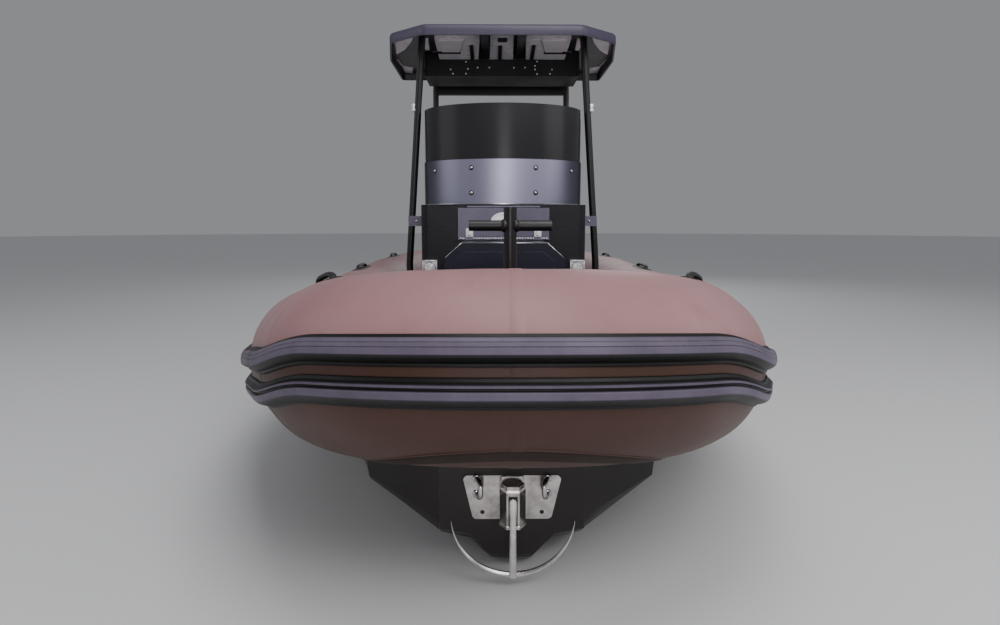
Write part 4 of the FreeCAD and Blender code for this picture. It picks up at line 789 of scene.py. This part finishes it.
locker_paint = painted("locker_paint", (23, 24, 42), (17, 18, 31), (120, 119, 132), 0.36, scale=3.0,
                       grain=380.0, wear=0.5, Specular_IOR_Level=0.32)
dress(locker_paint, "front_locker")
locker_half, locker_top_half, locker_face = 0.355, 0.257, -1.510
shoulder_z, locker_top_z = 1.060, 1.148


def slab(outline, out, bevel, thick):
    """A flat plate with bevelled rims: its outline, drawn in by the bevel at the face."""
    outline, out = np.array(outline, float), np.array(out, float)
    middle = outline.mean(0)
    inward = middle - outline
    inner = outline + inward * (bevel / np.linalg.norm(inward, axis=1, keepdims=True))
    return np.stack([outline, outline + out * (thick - bevel), inner + out * thick])


def bar(start, end, radius, columns=10):
    """A round bar with domed ends between two points."""
    start, end = np.array(start, float), np.array(end, float)
    long = np.linalg.norm(end - start)
    return turned([(0.5 * radius, 0), (radius, 0.5 * radius), (radius, long - 0.5 * radius),
                   (0.5 * radius, long)], start, end - start, columns)


shoulders = [(-locker_half, shoulder_z), (-locker_top_half, locker_top_z),
             (locker_top_half, locker_top_z), (locker_half, shoulder_z)]
# Painted highlight: a thin bright steel bar along each shoulder edge.
highlight_line = [(0.992 * x, locker_face + 0.0005, z - 0.003) for x, z in shoulders]
highlight_bars = [bar(start, end, 0.0035) for start, end in zip(highlight_line, highlight_line[1:])]
add("locker_edge_highlight", screw_steel, "polished_steel", *highlight_bars)
panel_outline = [(-0.30, 0.62), (-0.30, 1.035), (-0.235, 1.095), (0.235, 1.095), (0.30, 1.035),
                 (0.30, 0.62)]
add("locker_face_panel", locker_paint, "console_paint",
    slab([(x, locker_face - 0.0002, z) for x, z in panel_outline], ahead, 0.004, 0.005), sharp=30)


# Console and coaming
# Folded and welded aluminium in dark slate paint: a box with rounded corners below, and the rounded
# upper part that carries the screen. Raised seams mark the folds on each side of the hatch.

dress(console_paint, "console", "console_coaming")
console_face, helm_face = -1.110, -0.262
seams = [block((x, console_face - 0.0022, 1.238), (x + 0.225, console_face + 0.01, 1.2415), 0.0016)
         for x in (0.305, -0.53)]
seams += [block((-0.43, console_face - 0.003, 1.372), (0.43, console_face + 0.01, 1.377), 0.0025)]
add("console_seams", console_paint, "console_paint", *seams)
add("console_shelf_lip", console_paint, "console_paint",
    block((-0.44, helm_face - 0.038, 1.655), (0.44, helm_face, 1.672), 0.006))
dial = [(0.054, -0.004), (0.054, 0.005), (0.050, 0.008), (0.046, 0.008), (0.046, 0.003),
        (0.009, 0.003)]
dials = [turned(dial, (x, helm_face + 0.002, 1.59), (0, 1, 0), 40) for x in (-0.30, -0.18)]
dials.append(block((-0.09, helm_face, 1.475), (0.20, helm_face + 0.017, 1.640), 0.008))
add("helm_instruments", pipe_coat, "black_coat", *dials, sharp=50)
display_glass = painted("display_glass", (16, 20, 24), (10, 12, 15), (30, 34, 38), 0.12, scale=8.0)
add("helm_display", display_glass, "black_coat",
    block((-0.078, helm_face + 0.0162, 1.492), (0.188, helm_face + 0.0184, 1.628), 0.001))
switches = [block((x, helm_face, z), (x + 0.022, helm_face + 0.010, z + 0.04), 0.003)
            for z in (1.56, 1.50) for x in 0.25 + 0.032 * np.arange(5)]
add("helm_switches", grip_rubber, "grip_rubber", *switches)


# Console hatch
# A light painted door with a folded grip lip along its foot, two white latches and a rubber seal
# showing round it. It hangs from a hinge along its top edge.

panel_paint = painted("panel_paint", (101, 94, 115), (82, 76, 94), (160, 154, 170), 0.4, scale=2.4,
                      grain=420.0, amount=0.6)
dress(panel_paint, "console_hatch")
hatch_face, skin_half, skin_low, skin_high = -1.1283, 0.272, 1.176, 1.352


def upright(x_from, x_to, y, low, high, bevel, thick):
    """A bevelled plate that faces ahead, from one breadth to another and between two heights."""
    return slab([(x_from, y, low), (x_from, y, high), (x_to, y, high), (x_to, y, low)], ahead,
                bevel, thick)


add("hatch_skin", panel_paint, "panel_paint",
    upright(-skin_half, skin_half, hatch_face + 0.001, skin_low, skin_high, 0.004, 0.004),
    sharp=30, body="console_hatch")
seal = [block((low, console_face - 0.004, 1.1485), (high, console_face + 0.004, top), 0.0015)
        for low, high, top in ((-0.2985, 0.2985, 1.1515), (0.2955, 0.2985, 1.3745),
                               (-0.2985, -0.2955, 1.3745))]
add("hatch_seal", dark_gap, "black_coat", *seal)
teeth = [block((x - 0.007, hatch_face - 0.0105, 1.1545),
               (x + 0.007, hatch_face - 0.004, 1.167), 0.002, 3)
         for x in np.linspace(-0.28, 0.28, 33)]
add("hatch_grip_teeth", screw_steel, "polished_steel", *teeth, body="console_hatch")
white_cover = painted("white_cover", (248, 248, 250), (226, 225, 229), (250, 250, 250), 0.3,
                      scale=9.0, wear=0.2, Coat_Weight=0.3)
latch_x = 0.221
latches = []
for x in (latch_x, -latch_x):
    latches += [block((x - 0.0245, hatch_face - 0.0145, 1.1705),
                      (x + 0.0245, hatch_face + 0.002, 1.2265), 0.004),
                block((x - 0.011, hatch_face - 0.0235, 1.180),
                      (x + 0.011, hatch_face - 0.010, 1.222), 0.005)]
add("hatch_latches", white_cover, "white_cover", *latches, body="console_hatch")
oval_half_wide, oval_half_high = 0.083, 0.057
oval_turn = np.linspace(0, 2 * np.pi, 72, endpoint=False)
oval_rows = np.array([(0.0, 0.0), (0.0, 0.004), (0.003, 0.0075), (0.012, 0.0088), (0.014, 0.006),
                      (0.020, 0.006), (0.022, 0.0095), (0.040, 0.010), (0.053, 0.010)])
drawn_in, raised = oval_rows[:, :1], oval_rows[:, 1:]
oval = np.stack(np.broadcast_arrays((oval_half_wide - drawn_in) * np.cos(oval_turn), -raised,
                                    (oval_half_high - drawn_in) * np.sin(oval_turn)), -1)
add("inspection_cover", white_cover, "white_cover", oval + (0, hatch_face - 0.0002, 1.272),
    sharp=40, body="console_hatch", instead_of="inspection_plate")


# Aluminium band
# A brushed strip bent round the coaming's nose below the screen and held by dome screws. Painted
# shade darkens its colour towards its sides, so that it shines brightest where it faces straight
# forward.

band_metal = brushed("band_metal", (174, 171, 195), (156, 153, 178), (3, 3, 900), 0.38, 0.25, 0.3)
tree = band_metal.node_tree
# Painted shade: beyond 0.24 m either side of the middle the colour darkens to a dark grey.
off_centre = maths(tree, "ABSOLUTE",
                   step(tree, "ShaderNodeSeparateXYZ", {0: place(tree)}).outputs["X"])
sides = above(tree, off_centre, 0.24, 3.2)
metal_tone = tree.nodes["Principled BSDF"].inputs["Base Color"].links[0].from_socket
feed(band_metal, Base_Color=blend_colours(tree, sides, metal_tone, srgb(66, 64, 76)))
dress(band_metal, "console_band")
nose_y, nose_half, nose_depth, screen_aft = -0.725, 0.5453, 0.3853, -0.402


def on_nose(x, z):
    """A point of the band's face, y = nose_y - depth sqrt(1 - (x / half)^2), and the way out."""
    y = nose_y - nose_depth * math.sqrt(1 - (x / nose_half) ** 2)
    outward = np.array([x / nose_half ** 2, (y - nose_y) / nose_depth ** 2, 0])
    return np.array([x, y, z]), unit(outward)


washer = [(0.0165, -0.002), (0.0165, 0.001), (0.015, 0.0015)]
band_bolts, band_rings = [], []
for x, z in ((0.209, 1.615), (0.209, 1.455), (0.457, 1.605)):
    for side in (1, -1):
        foot, normal = on_nose(side * x, z)
        band_rings.append(turned(washer, foot, normal, 24))
        band_bolts.append(dome(foot + normal * 0.0012, normal, 0.0115, 0.0075))
add("band_washers", dark_gap, "black_coat", *band_rings, sharp=40)
add("band_screws", screw_steel, "polished_steel", *band_bolts, sharp=40)
arc = np.linspace(-math.pi / 2, math.pi / 2, 96)


def round_nose(out):
    """The line round the coaming, out from the band's face: half an ellipse and straight sides."""
    half, depth = nose_half + out, nose_depth + out
    nose = np.stack([half * np.sin(arc), nose_y - depth * np.cos(arc)], -1)
    run = np.linspace(screen_aft, nose_y, 8, endpoint=False)
    return np.concatenate([np.stack([0 * run - half, run], -1), nose,
                           np.stack([0 * run + half, run[::-1]], -1)])


def wrapped(out, low, high, thick):
    """A sheet round the nose between two heights, which may be arrays along it."""
    outer, inner = round_nose(out), round_nose(out - thick)
    low, high = np.broadcast_to(low, len(outer)), np.broadcast_to(high, len(outer))
    z = (low[:, None] + (high - low)[:, None] * np.linspace(0, 1, 9))[..., None]
    up, down = (np.concatenate([np.broadcast_to(line[:, None], (len(line), 9, 2)), z], -1)
                for line in (outer, inner))
    return np.concatenate([up, down[:, ::-1]], 1)


band_low, edge_high = 1.3825, 1.3885
add("band_lower_edge", screw_steel, "polished_steel", wrapped(0.0003, band_low, edge_high, 0.004),
    sharp=30)


# Screen
# A smoke tinted sheet wrapped round the same nose. It has rounded upper corners and stands in a
# rubber channel behind the band's top edge.

tinted_screen = finish("tinted_screen", Base_Color=srgb(54, 54, 57), Roughness=0.24,
                       Transmission_Weight=0.4, IOR=1.45, Specular_IOR_Level=0.12)
screen_out, screen_low, screen_high = -0.0058, 1.663, 2.019
corner_drop, corner_long = 0.16, 0.34
screen_line = round_nose(screen_out)
from_end = np.minimum(lengths(screen_line), lengths(screen_line[::-1])[::-1])
to_corner = 1 - np.clip(from_end / corner_long, 0, 1)
drop = corner_drop * (1 - np.sqrt(np.clip(1 - to_corner ** 2, 0, 1)))
add("wrapped_screen", tinted_screen, "tinted_screen",
    wrapped(screen_out, screen_low, screen_high - drop, 0.007), sharp=50,
    instead_of="windscreen")
add("screen_channel", grip_rubber, "grip_rubber", wrapped(-0.0011, 1.655, 1.6718, 0.016), sharp=40)


# Deck lamps
# Square floodlights on the console's front corners: a bright housing with a raised bezel, a dark
# ring and a pale domed glass.

lamp_chrome = brushed("lamp_chrome", (250, 249, 250), (214, 213, 215), (90, 90, 90), 0.42)
dress(lamp_chrome, "deck_lamps")
lamp_z, lamp_face, rim_out, rim_in = 0.974, -1.1425, 0.048, 0.040
bezel = [(-rim_out, rim_in, rim_out, rim_out), (-rim_out, -rim_out, rim_out, -rim_in),
         (-rim_out, -rim_out, -rim_in, rim_out), (rim_in, -rim_out, rim_out, rim_out)]
bowl = [(0.038, 0.000), (0.038, 0.0085), (0.034, 0.0100), (0.010, 0.0122), (0.004, 0.0124)]
dark_ring = [(0.0385, 0.004), (0.0385, 0.0098), (0.0365, 0.0105), (0.0345, 0.0103), (0.034, 0.008)]
lamp_rims, lamp_bowls, lamp_rings = [], [], []
for x in (0.480, -0.480):
    lamp_rims += [block((x + left, -1.153, lamp_z + low), (x + right, -1.142, lamp_z + high), 0.002)
                  for left, low, right, high in bezel]
    lamp_bowls.append(turned(bowl, (x, lamp_face, lamp_z), ahead, 40))
    lamp_rings.append(turned(dark_ring, (x, lamp_face, lamp_z), ahead, 40))
add("lamp_bezels", lamp_chrome, "polished_steel", *lamp_rims)
lamp_glass = painted("lamp_glass", (236, 235, 236), (150, 149, 152), (240, 240, 240), 0.1,
                     scale=45.0, amount=0.8, Coat_Weight=0.6)
add("lamp_lenses", lamp_glass, "tinted_screen", *lamp_bowls)
add("lamp_rings", dark_gap, "black_coat", *lamp_rings, sharp=40)


# Grab rails behind the screen
# Two bent tubes of stainless steel across the top of the console. Each stands on small round feet
# that are screwed down.

dress(eye_steel, "console_grab_rails")
rail_x, rail_foot_z = 0.375, 1.66
foot = [(0.024, -0.001), (0.024, 0.003), (0.021, 0.0055), (0.0125, 0.0065)]
feet = [turned(foot, (side * rail_x, y, rail_foot_z), upward)
        for side in (1, -1) for y in (-0.52, -0.38)]
add("grab_rail_feet", screw_steel, "polished_steel", *feet)


# Steering wheel, hub and throttle
# A three-spoke wheel with a moulded rubber rim, its hub bolted to the console's after face, and a
# single lever control in a die-cast housing.

wheel_rubber = painted("wheel_rubber", (34, 33, 35), (23, 22, 24), (80, 78, 80), 0.5, scale=14.0,
                       grain=900.0)
dress(wheel_rubber, "steering_wheel")
dress(pipe_coat, "helm_hub")
throttle_coat = painted("throttle_coat", (58, 58, 62), (42, 42, 46), (150, 150, 154), 0.34,
                        scale=12.0, grain=500.0, wear=0.7)
dress(throttle_coat, "throttle")


# Hardtop
# A folded aluminium roof with a crowned fascia, pale lining panels screwed under it and small light
# fittings between them. Its top has a shallow non-slip field.

roof_paint = painted("roof_paint", (70, 64, 85), (56, 51, 68), (156, 150, 166), 0.42, scale=1.6,
                     grain=360.0, amount=0.6, streaks=0.25)
# Painted shade: where the mark is 1, on the roof's underside, the paint turns a near black grey.
shade = step(roof_paint.node_tree, "ShaderNodeAttribute", attribute_name="shade").outputs["Fac"]
shader = roof_paint.node_tree.nodes["Principled BSDF"]
top_tone = shader.inputs["Base Color"].links[0].from_socket
feed(roof_paint, Base_Color=blend_colours(roof_paint.node_tree, shade, top_tone, srgb(34, 33, 37)))


def rounded(corners, cuts, count=9):
    """A closed line with each corner bent round: (1 - t)^2 a + 2 t (1 - t) corner + t^2 b."""
    corners = np.array(corners, float)
    t = np.linspace(0, 1, count)[:, None]
    lines = []
    befores, afters = np.roll(corners, 1, 0), np.roll(corners, -1, 0)
    for before, corner, after, cut in zip(befores, corners, afters, cuts):
        a, b = corner + unit(before - corner) * cut, corner + unit(after - corner) * cut
        lines.append((1 - t) ** 2 * a + 2 * t * (1 - t) * corner + t ** 2 * b)
    return np.concatenate(lines)


roof_line = rounded([(-0.84, 0.39), (-0.835, -0.30), (-0.76, -0.80), (-0.52, -1.01),
                     (0.52, -1.01), (0.76, -0.80), (0.835, -0.30), (0.84, 0.39)],
                    [0.04, 0.05, 0.035, 0.03, 0.03, 0.035, 0.05, 0.04], 6)
run_of_edge = np.roll(roof_line, -1, 0) - np.roll(roof_line, 1, 0)
inward = np.stack([-run_of_edge[:, 1], run_of_edge[:, 0]], -1)
inward /= np.linalg.norm(inward, axis=1, keepdims=True)
roof_middle = np.array([0, -0.31])
inward *= np.sign(((roof_middle - roof_line) * inward).sum(1, keepdims=True))


def roof_ring(inset, z, share=1.0):
    """The roof's outline drawn in by an inset, and then towards its middle to a share."""
    return at_height((roof_line + inward * inset - roof_middle) * share + roof_middle, z)


rim_steps = [(0.016, 2.506), (0.014, 2.4545), (0.008, 2.453), (0.002, 2.4545), (0.0, 2.459),
             (0.0, 2.500), (0.003, 2.510), (0.009, 2.518), (0.018, 2.5225), (0.032, 2.5240)]
crown_steps = [(0.8, 2.5250), (0.55, 2.5257), (0.3, 2.5261), (0.03, 2.5263)]
roof_rows = [roof_ring(0.022, 2.5135, share) for share in (0.03, 0.4, 0.8, 1.0)]
roof_rows += [roof_ring(inset, z) for inset, z in rim_steps]
roof_rows += [roof_ring(0.032, z, share) for share, z in crown_steps]
roof_shell = skin("hardtop_shell", np.stack(roof_rows), sharp=50)
# The underside rows get 1, the next rim row 0.6 and the rest 0: the painted shade under the roof.
tone = np.repeat([1.0] * 5 + [0.6] + [0.0] * (len(roof_rows) - 6), len(roof_line))
fit(mark(roof_shell, "shade", np.concatenate([tone, [1, 0]])), roof_paint, "roof_paint",
    instead_of="hardtop")
lining = painted("lining", (222, 218, 224), (186, 182, 188), (230, 228, 232), 0.3, scale=5.0,
                 grain=500.0, amount=0.7)
lining_z, lining_fall = 2.5130, 0.1274


def hung(outline, thick, below=0.0, side=1, fall=lining_fall, bevel=0.005):
    """A panel under the roof: flat ahead of y = -0.70, and with a fall behind it."""
    points = [(side * x, y, lining_z - max(0, y + 0.70) * fall - below) for x, y in outline]
    return slab(points, (0, 0, -1), bevel, thick)


side_panels = [[(0.155, -0.70), (0.470, -0.70), (0.465, -0.325), (0.175, -0.325)],
               [(0.155, -0.93), (0.440, -0.93), (0.470, -0.70), (0.155, -0.70)],
               [(0.510, -0.70), (0.550, -0.70), (0.550, -0.50), (0.520, -0.50)],
               [(0.595, -0.79), (0.69, -0.775), (0.75, -0.64), (0.768, -0.42), (0.70, -0.50),
                (0.64, -0.62)]]
quarter_panel = [(0.72, 0.17), (0.80, 0.10), (0.812, 0.34), (0.745, 0.36)]
edge_panel = [(0.800, -0.10), (0.816, -0.11), (0.806, 0.08), (0.788, 0.10)]
lamp_field = [(0.268, -0.705), (0.438, -0.705), (0.432, -0.495), (0.305, -0.495)]
grille = [(0.298, -0.483), (0.500, -0.483), (0.500, -0.440), (0.298, -0.440)]
rail = [(0.206, -0.600), (0.232, -0.600), (0.232, -0.350), (0.206, -0.350)]
middle_rail = [(-0.030, -0.590), (-0.004, -0.590), (-0.004, -0.345), (-0.030, -0.345)]
middle_lamp = [(-0.035, -0.735), (0.030, -0.735), (0.030, -0.665), (-0.035, -0.665)]
linings = [hung([(-0.088, -0.70), (0.076, -0.70), (0.082, -0.325), (-0.094, -0.325)], 0.006),
           hung([(-0.088, -0.93), (0.076, -0.93), (0.076, -0.70), (-0.088, -0.70)], 0.006)]
raised, dark_bits = [], []
for side in (1, -1):
    linings += [hung(outline, 0.006, side=side) for outline in side_panels]
    linings += [hung(quarter_panel, 0.006, side=side, fall=0.0),
                hung(edge_panel, 0.005, side=side, fall=0.0, bevel=0.004)]
    raised.append(hung(lamp_field, 0.014, 0.004, side))
    dark_bits += [hung(grille, 0.005, 0.004, side), hung(rail, 0.012, 0.004, side)]
dark_bits += [hung(middle_rail, 0.012, 0.004), hung(middle_lamp, 0.010, 0.004)]
linings += [hung([(-0.50, 0.08), (0.50, 0.08), (0.50, 0.36), (-0.50, 0.36)], 0.006, fall=0.0)]
add("roof_lining", lining, "roof_paint", *linings, *raised, sharp=30)
add("roof_fittings", pipe_coat, "black_coat", *dark_bits, sharp=30)
tread_half, tread_low, tread_high = 0.50, 2.5248, 2.5279
add("roof_tread", deck_tread, "deck_tread",
    block((-tread_half, -0.66, tread_low), (tread_half, 0.26, tread_high), 0.0012))


# Hardtop posts, frame and brackets
# Bent pipes in black coating with bright clamp fittings, two square beams and a crossbar under the
# roof, and brackets that brace the front posts against the console.

dress(pipe_coat, "hardtop_frame")
post_head, post_knee, post_foot = (0.552, 2.512), (0.668, 0.93), (0.572, 0.462)
front_post_y = -0.71
front_posts = []
for side in (1, -1):
    line = [(side * x, front_post_y, z) for x, z in (post_head, post_knee, post_foot)]
    front_posts += [pipe(line, [0.45], 0.024, 24),
                    turned([(0.029, 0), (0.029, 0.034), (0.0245, 0.040)],
                           (side * post_foot[0], front_post_y, post_foot[1] - 0.0015), upward)]
add("front_posts", pipe_coat, "black_coat", *front_posts, sharp=50,
    instead_of="hardtop_front_posts")
far_coat = painted("far_coat", (54, 48, 42), (38, 34, 30), (110, 104, 96), 0.4, scale=5.0, wear=0.5)
dress(far_coat, "hardtop_rear_posts")
dress(panel_paint, "post_brackets")
fitting_z = 2.050
fitting_x = 0.030 + np.interp(fitting_z, (post_knee[1], post_head[1]), (post_knee[0], post_head[0]))
knob = [(0.014, -0.010), (0.014, 0.010), (0.011, 0.015), (0.005, 0.016)]
knobs = []
for side in (1, -1):
    x = side * fitting_x
    knobs += [turned(knob, (x, front_post_y - 0.002, fitting_z + rise), (side, 0, 0))
              for rise in (-0.016, 0.016)]
    knobs.append(block((x - 0.011, -0.726, fitting_z - 0.028),
                       (x + 0.008, -0.698, fitting_z + 0.028), 0.005))
add("post_fittings", lamp_chrome, "polished_steel", *knobs, sharp=40)
bracket_face, bracket_z = -0.740, 1.273
bracket_bolts = [dome((side * x, bracket_face, bracket_z), ahead, 0.009, 0.006)
                 for side in (1, -1) for x in (0.560, 0.610)]
add("bracket_bolts", screw_steel, "polished_steel", *bracket_bolts)


# Overhead box
# A black radio box of folded sheet across the roof. Its front is two covers, held by a scatter of
# pale screws.

box_coat = painted("box_coat", (17, 16, 19), (12, 11, 13), (70, 68, 72), 0.5, scale=5.0,
                   grain=420.0, wear=0.6, Specular_IOR_Level=0.3)
dress(box_coat, "overhead_box")
screw_places = [(-0.383, 2.390), (-0.366, 2.360), (-0.269, 2.360), (-0.254, 2.394), (-0.268, 2.444),
                (-0.182, 2.404), (-0.094, 2.404), (0.089, 2.404), (0.171, 2.405), (0.245, 2.416),
                (0.246, 2.391), (0.260, 2.448), (0.261, 2.359), (0.358, 2.359), (0.372, 2.390)]
box_face = -0.320
cover_out, cover_in, cover_low, cover_high = 0.545, 0.13, 2.352, 2.500
add("overhead_box_screws", white_cover, "white_cover",
    *(dome((x, box_face, z), ahead, 0.0065, 0.003, 14) for x, z in screw_places))
add("overhead_box_face", box_coat, "black_coat",
    *(upright(side * cover_out, side * cover_in, box_face - 0.0002, cover_low, cover_high, 0.0015,
              0.0015) for side in (-1, 1)), sharp=30)


# Helm seat
# A painted aluminium box with a vented door, a foam cushion and backrest in grained vinyl with a
# sewn seam round each, and a bent pipe behind the backrest.

dress(console_paint, "helm_seat_base")
dress(pipe_coat, "helm_seat_rail")
door_half, door_face, door_low, door_high = 0.33, 0.5598, 0.56, 1.08
add("seat_base_door", console_paint, "console_paint",
    upright(-door_half, door_half, door_face, door_low, door_high, 0.004, 0.005), sharp=30)
louvres = [block((-0.20, 0.548, z), (0.20, 0.556, z + 0.010), 0.003)
           for z in np.arange(0.64, 0.80, 0.028)]
add("seat_base_louvres", console_paint, "console_paint", *louvres)
seat_vinyl = finish("seat_vinyl", Specular_IOR_Level=0.4, Sheen_Weight=0.08)
tree = seat_vinyl.node_tree
hide = use_group(tree, mottle, Colour=srgb(50, 48, 54), Shade=srgb(36, 35, 40), Scale=6.0,
                 Grain=900.0, Amount=0.6, Roughness=0.5)
cells = step(tree, "ShaderNodeTexVoronoi", {"Vector": place(tree), "Scale": 260.0},
             feature="DISTANCE_TO_EDGE").outputs[0]
creases = maths(tree, "MULTIPLY", cells, 3.0, clamp=True)
feed(seat_vinyl, Base_Color=hide["Colour"], Roughness=hide["Roughness"],
     Height=maths(tree, "MULTIPLY", creases, 0.35))


def corners_of(piece):
    """The places of a piece's corners."""
    flat = np.empty(len(piece.data.vertices) * 3)
    piece.data.vertices.foreach_get("co", flat)
    return flat.reshape(-1, 3)


def cushion(name, low, high, radius, firm, node, held):
    """A padded block: remeshed, swollen by cloth pressure and kept inside its room.

    The sewn seam is a groove of 4 mm exp(-(d / 6 mm)^2), where d is the distance from the seam's
    plane, which stands firm metres off the middle along the axis held.
    """
    farthest, groove_deep, groove_wide = 0.022, 0.004, 0.006
    low, high = np.array(low, float), np.array(high, float)
    pad = skin(name, block(low + 0.012, high - 0.012, radius, 7))
    remesh = pad.modifiers.new("voxels", "REMESH")
    remesh.mode = "VOXEL"
    remesh.voxel_size = 0.008
    bpy.context.view_layer.objects.active = pad
    bpy.ops.object.select_all(action="DESELECT")
    pad.select_set(True)
    bpy.ops.object.modifier_apply(modifier="voxels")
    start = corners_of(pad)
    cloth = pad.modifiers.new("swell", "CLOTH")
    cloth.settings.use_pressure = True
    cloth.settings.uniform_pressure_force = 4.0
    cloth.settings.effector_weights.gravity = 0.0
    for frame_number in range(1, 21):
        bpy.context.scene.frame_set(frame_number)
    bpy.ops.object.modifier_apply(modifier="swell")
    bpy.context.scene.frame_set(1)
    move = corners_of(pad) - start
    far = np.linalg.norm(move, axis=1, keepdims=True)
    move *= np.minimum(1, farthest / np.maximum(far, 1e-9))
    points = np.clip(start + move, low + 0.0005, high - 0.0005)
    seam_gap = np.abs((points - (low + high) / 2)[:, held] - firm)
    groove = groove_deep * np.exp(-(seam_gap / groove_wide) ** 2)
    inward = (low + high) / 2 - points
    inward[:, held] = 0
    inward /= np.maximum(np.linalg.norm(inward, axis=1, keepdims=True), 1e-6)
    points = points + inward * groove[:, None]
    pad.data.vertices.foreach_set("co", points.ravel())
    pad.data.polygons.foreach_set("use_smooth", np.ones(len(pad.data.polygons), bool))
    pad.data.update()
    finer = pad.modifiers.new("finer", "SUBSURF")
    finer.levels = finer.render_levels = 1
    bpy.ops.object.modifier_apply(modifier="finer")
    fit(pad, seat_vinyl, "seat_vinyl", instead_of=node)
    return pad


cushion("seat_cushion", (-0.43, 0.535, 1.1703), (0.43, 0.91, 1.28), 0.04, 0.022,
        "helm_seat_cushion", 2)
cushion("seat_backrest", (-0.41, 0.872, 1.37), (0.41, 0.9617, 1.76), 0.035, 0.0,
        "helm_seat_backrest", 1)


# Outboard motor
# Graphite painted castings: a clamp with cheeks on the transom, a swivel and the leg with its
# cavitation plate. Its moulded cowl has a rubber seal line and louvres over the air intakes.

motor_paint = painted("motor_paint", (44, 46, 51), (33, 34, 39), (110, 112, 118), 0.26, scale=2.0,
                      grain=380.0, wear=0.4, Coat_Weight=0.35)
dress(motor_paint, "outboard_clamp", "outboard_swivel", "outboard_leg")
cowl_rises = np.array([0, 0.16, 0.52, 0.84, 1])
cowl_widths, cowl_fronts, cowl_afts = (np.polyfit(cowl_rises, shares, 4) for shares in (
    (0.72, 0.95, 1, 0.9, 0.6), (0.1, 0.03, 0, 0.03, 0.2), (0.12, 0.04, 0, 0.08, 0.32)))
cowl_half, cowl_front, cowl_long, cowl_foot, cowl_high = 0.28, 3.151, 0.73, 0.68, 0.77


def cowl_ring(rise, out=0.0, share=1.0):
    """The cowl's outline at a share of its height: straight sides and round corners of 0.46 of its
    half width, pushed out, and then drawn in to its middle by a share."""
    curves = (cowl_widths, cowl_fronts, cowl_afts)
    width, front, aft = (np.polyval(curve, rise) for curve in curves)
    half = cowl_half * width
    low, high = cowl_front + cowl_long * max(front, 0), cowl_front + cowl_long * (1 - max(aft, 0))
    radius, middle = 0.46 * half, np.array([0, (low + high) / 2])
    corners = []
    for quarter, (x, y) in enumerate(((half, high), (-half, high), (-half, low), (half, low))):
        t = np.radians(np.linspace(0, 90, 10) + 90 * quarter)
        centre = np.array([x, y]) - np.sign([x, y - middle[1]]) * radius
        corners.append(centre + (radius + out) * np.stack([np.cos(t), np.sin(t)], -1))
    ring = middle + (np.concatenate(corners) - middle) * share
    return at_height(ring, cowl_foot + cowl_high * rise)


cowl_rows = [cowl_ring(0, 0, share) for share in (0.05, 0.6)]
cowl_rows += [cowl_ring(rise) for rise in np.linspace(0, 0.985, 48)]
cowl_rows += [cowl_ring(*row) for row in ((0.993, 0, 0.97), (0.998, 0, 0.90), (1.0, 0, 0.75),
                                          (1.0, 0, 0.05))]
add("cowl_shell", motor_paint, "motor_paint", np.stack(cowl_rows), sharp=60, body="outboard_drive",
    instead_of="outboard_cowl")
seal_rows = [cowl_ring(*row) for row in ((0.152, -0.004), (0.154, 0.0025), (0.157, 0.0035),
                                         (0.163, 0.0035), (0.166, 0.0025), (0.168, -0.004))]
add("cowl_seal", grip_rubber, "grip_rubber", np.stack(seal_rows), sharp=60, body="outboard_drive")
louvres = []
for rise in np.linspace(0.60, 0.78, 7):
    x, z = cowl_half * np.polyval(cowl_widths, rise), cowl_foot + cowl_high * rise
    louvres += [block((x_there - 0.006, 3.44, z - 0.005), (x_there + 0.006, 3.70, z + 0.005), 0.004)
                for x_there in (x, -x)]
add("cowl_louvres", grip_rubber, "grip_rubber", *louvres, body="outboard_drive")
blade_steel = brushed("blade_steel", (176, 176, 180), (140, 140, 146), (90, 90, 90), 0.28)
dress(blade_steel, "propeller")
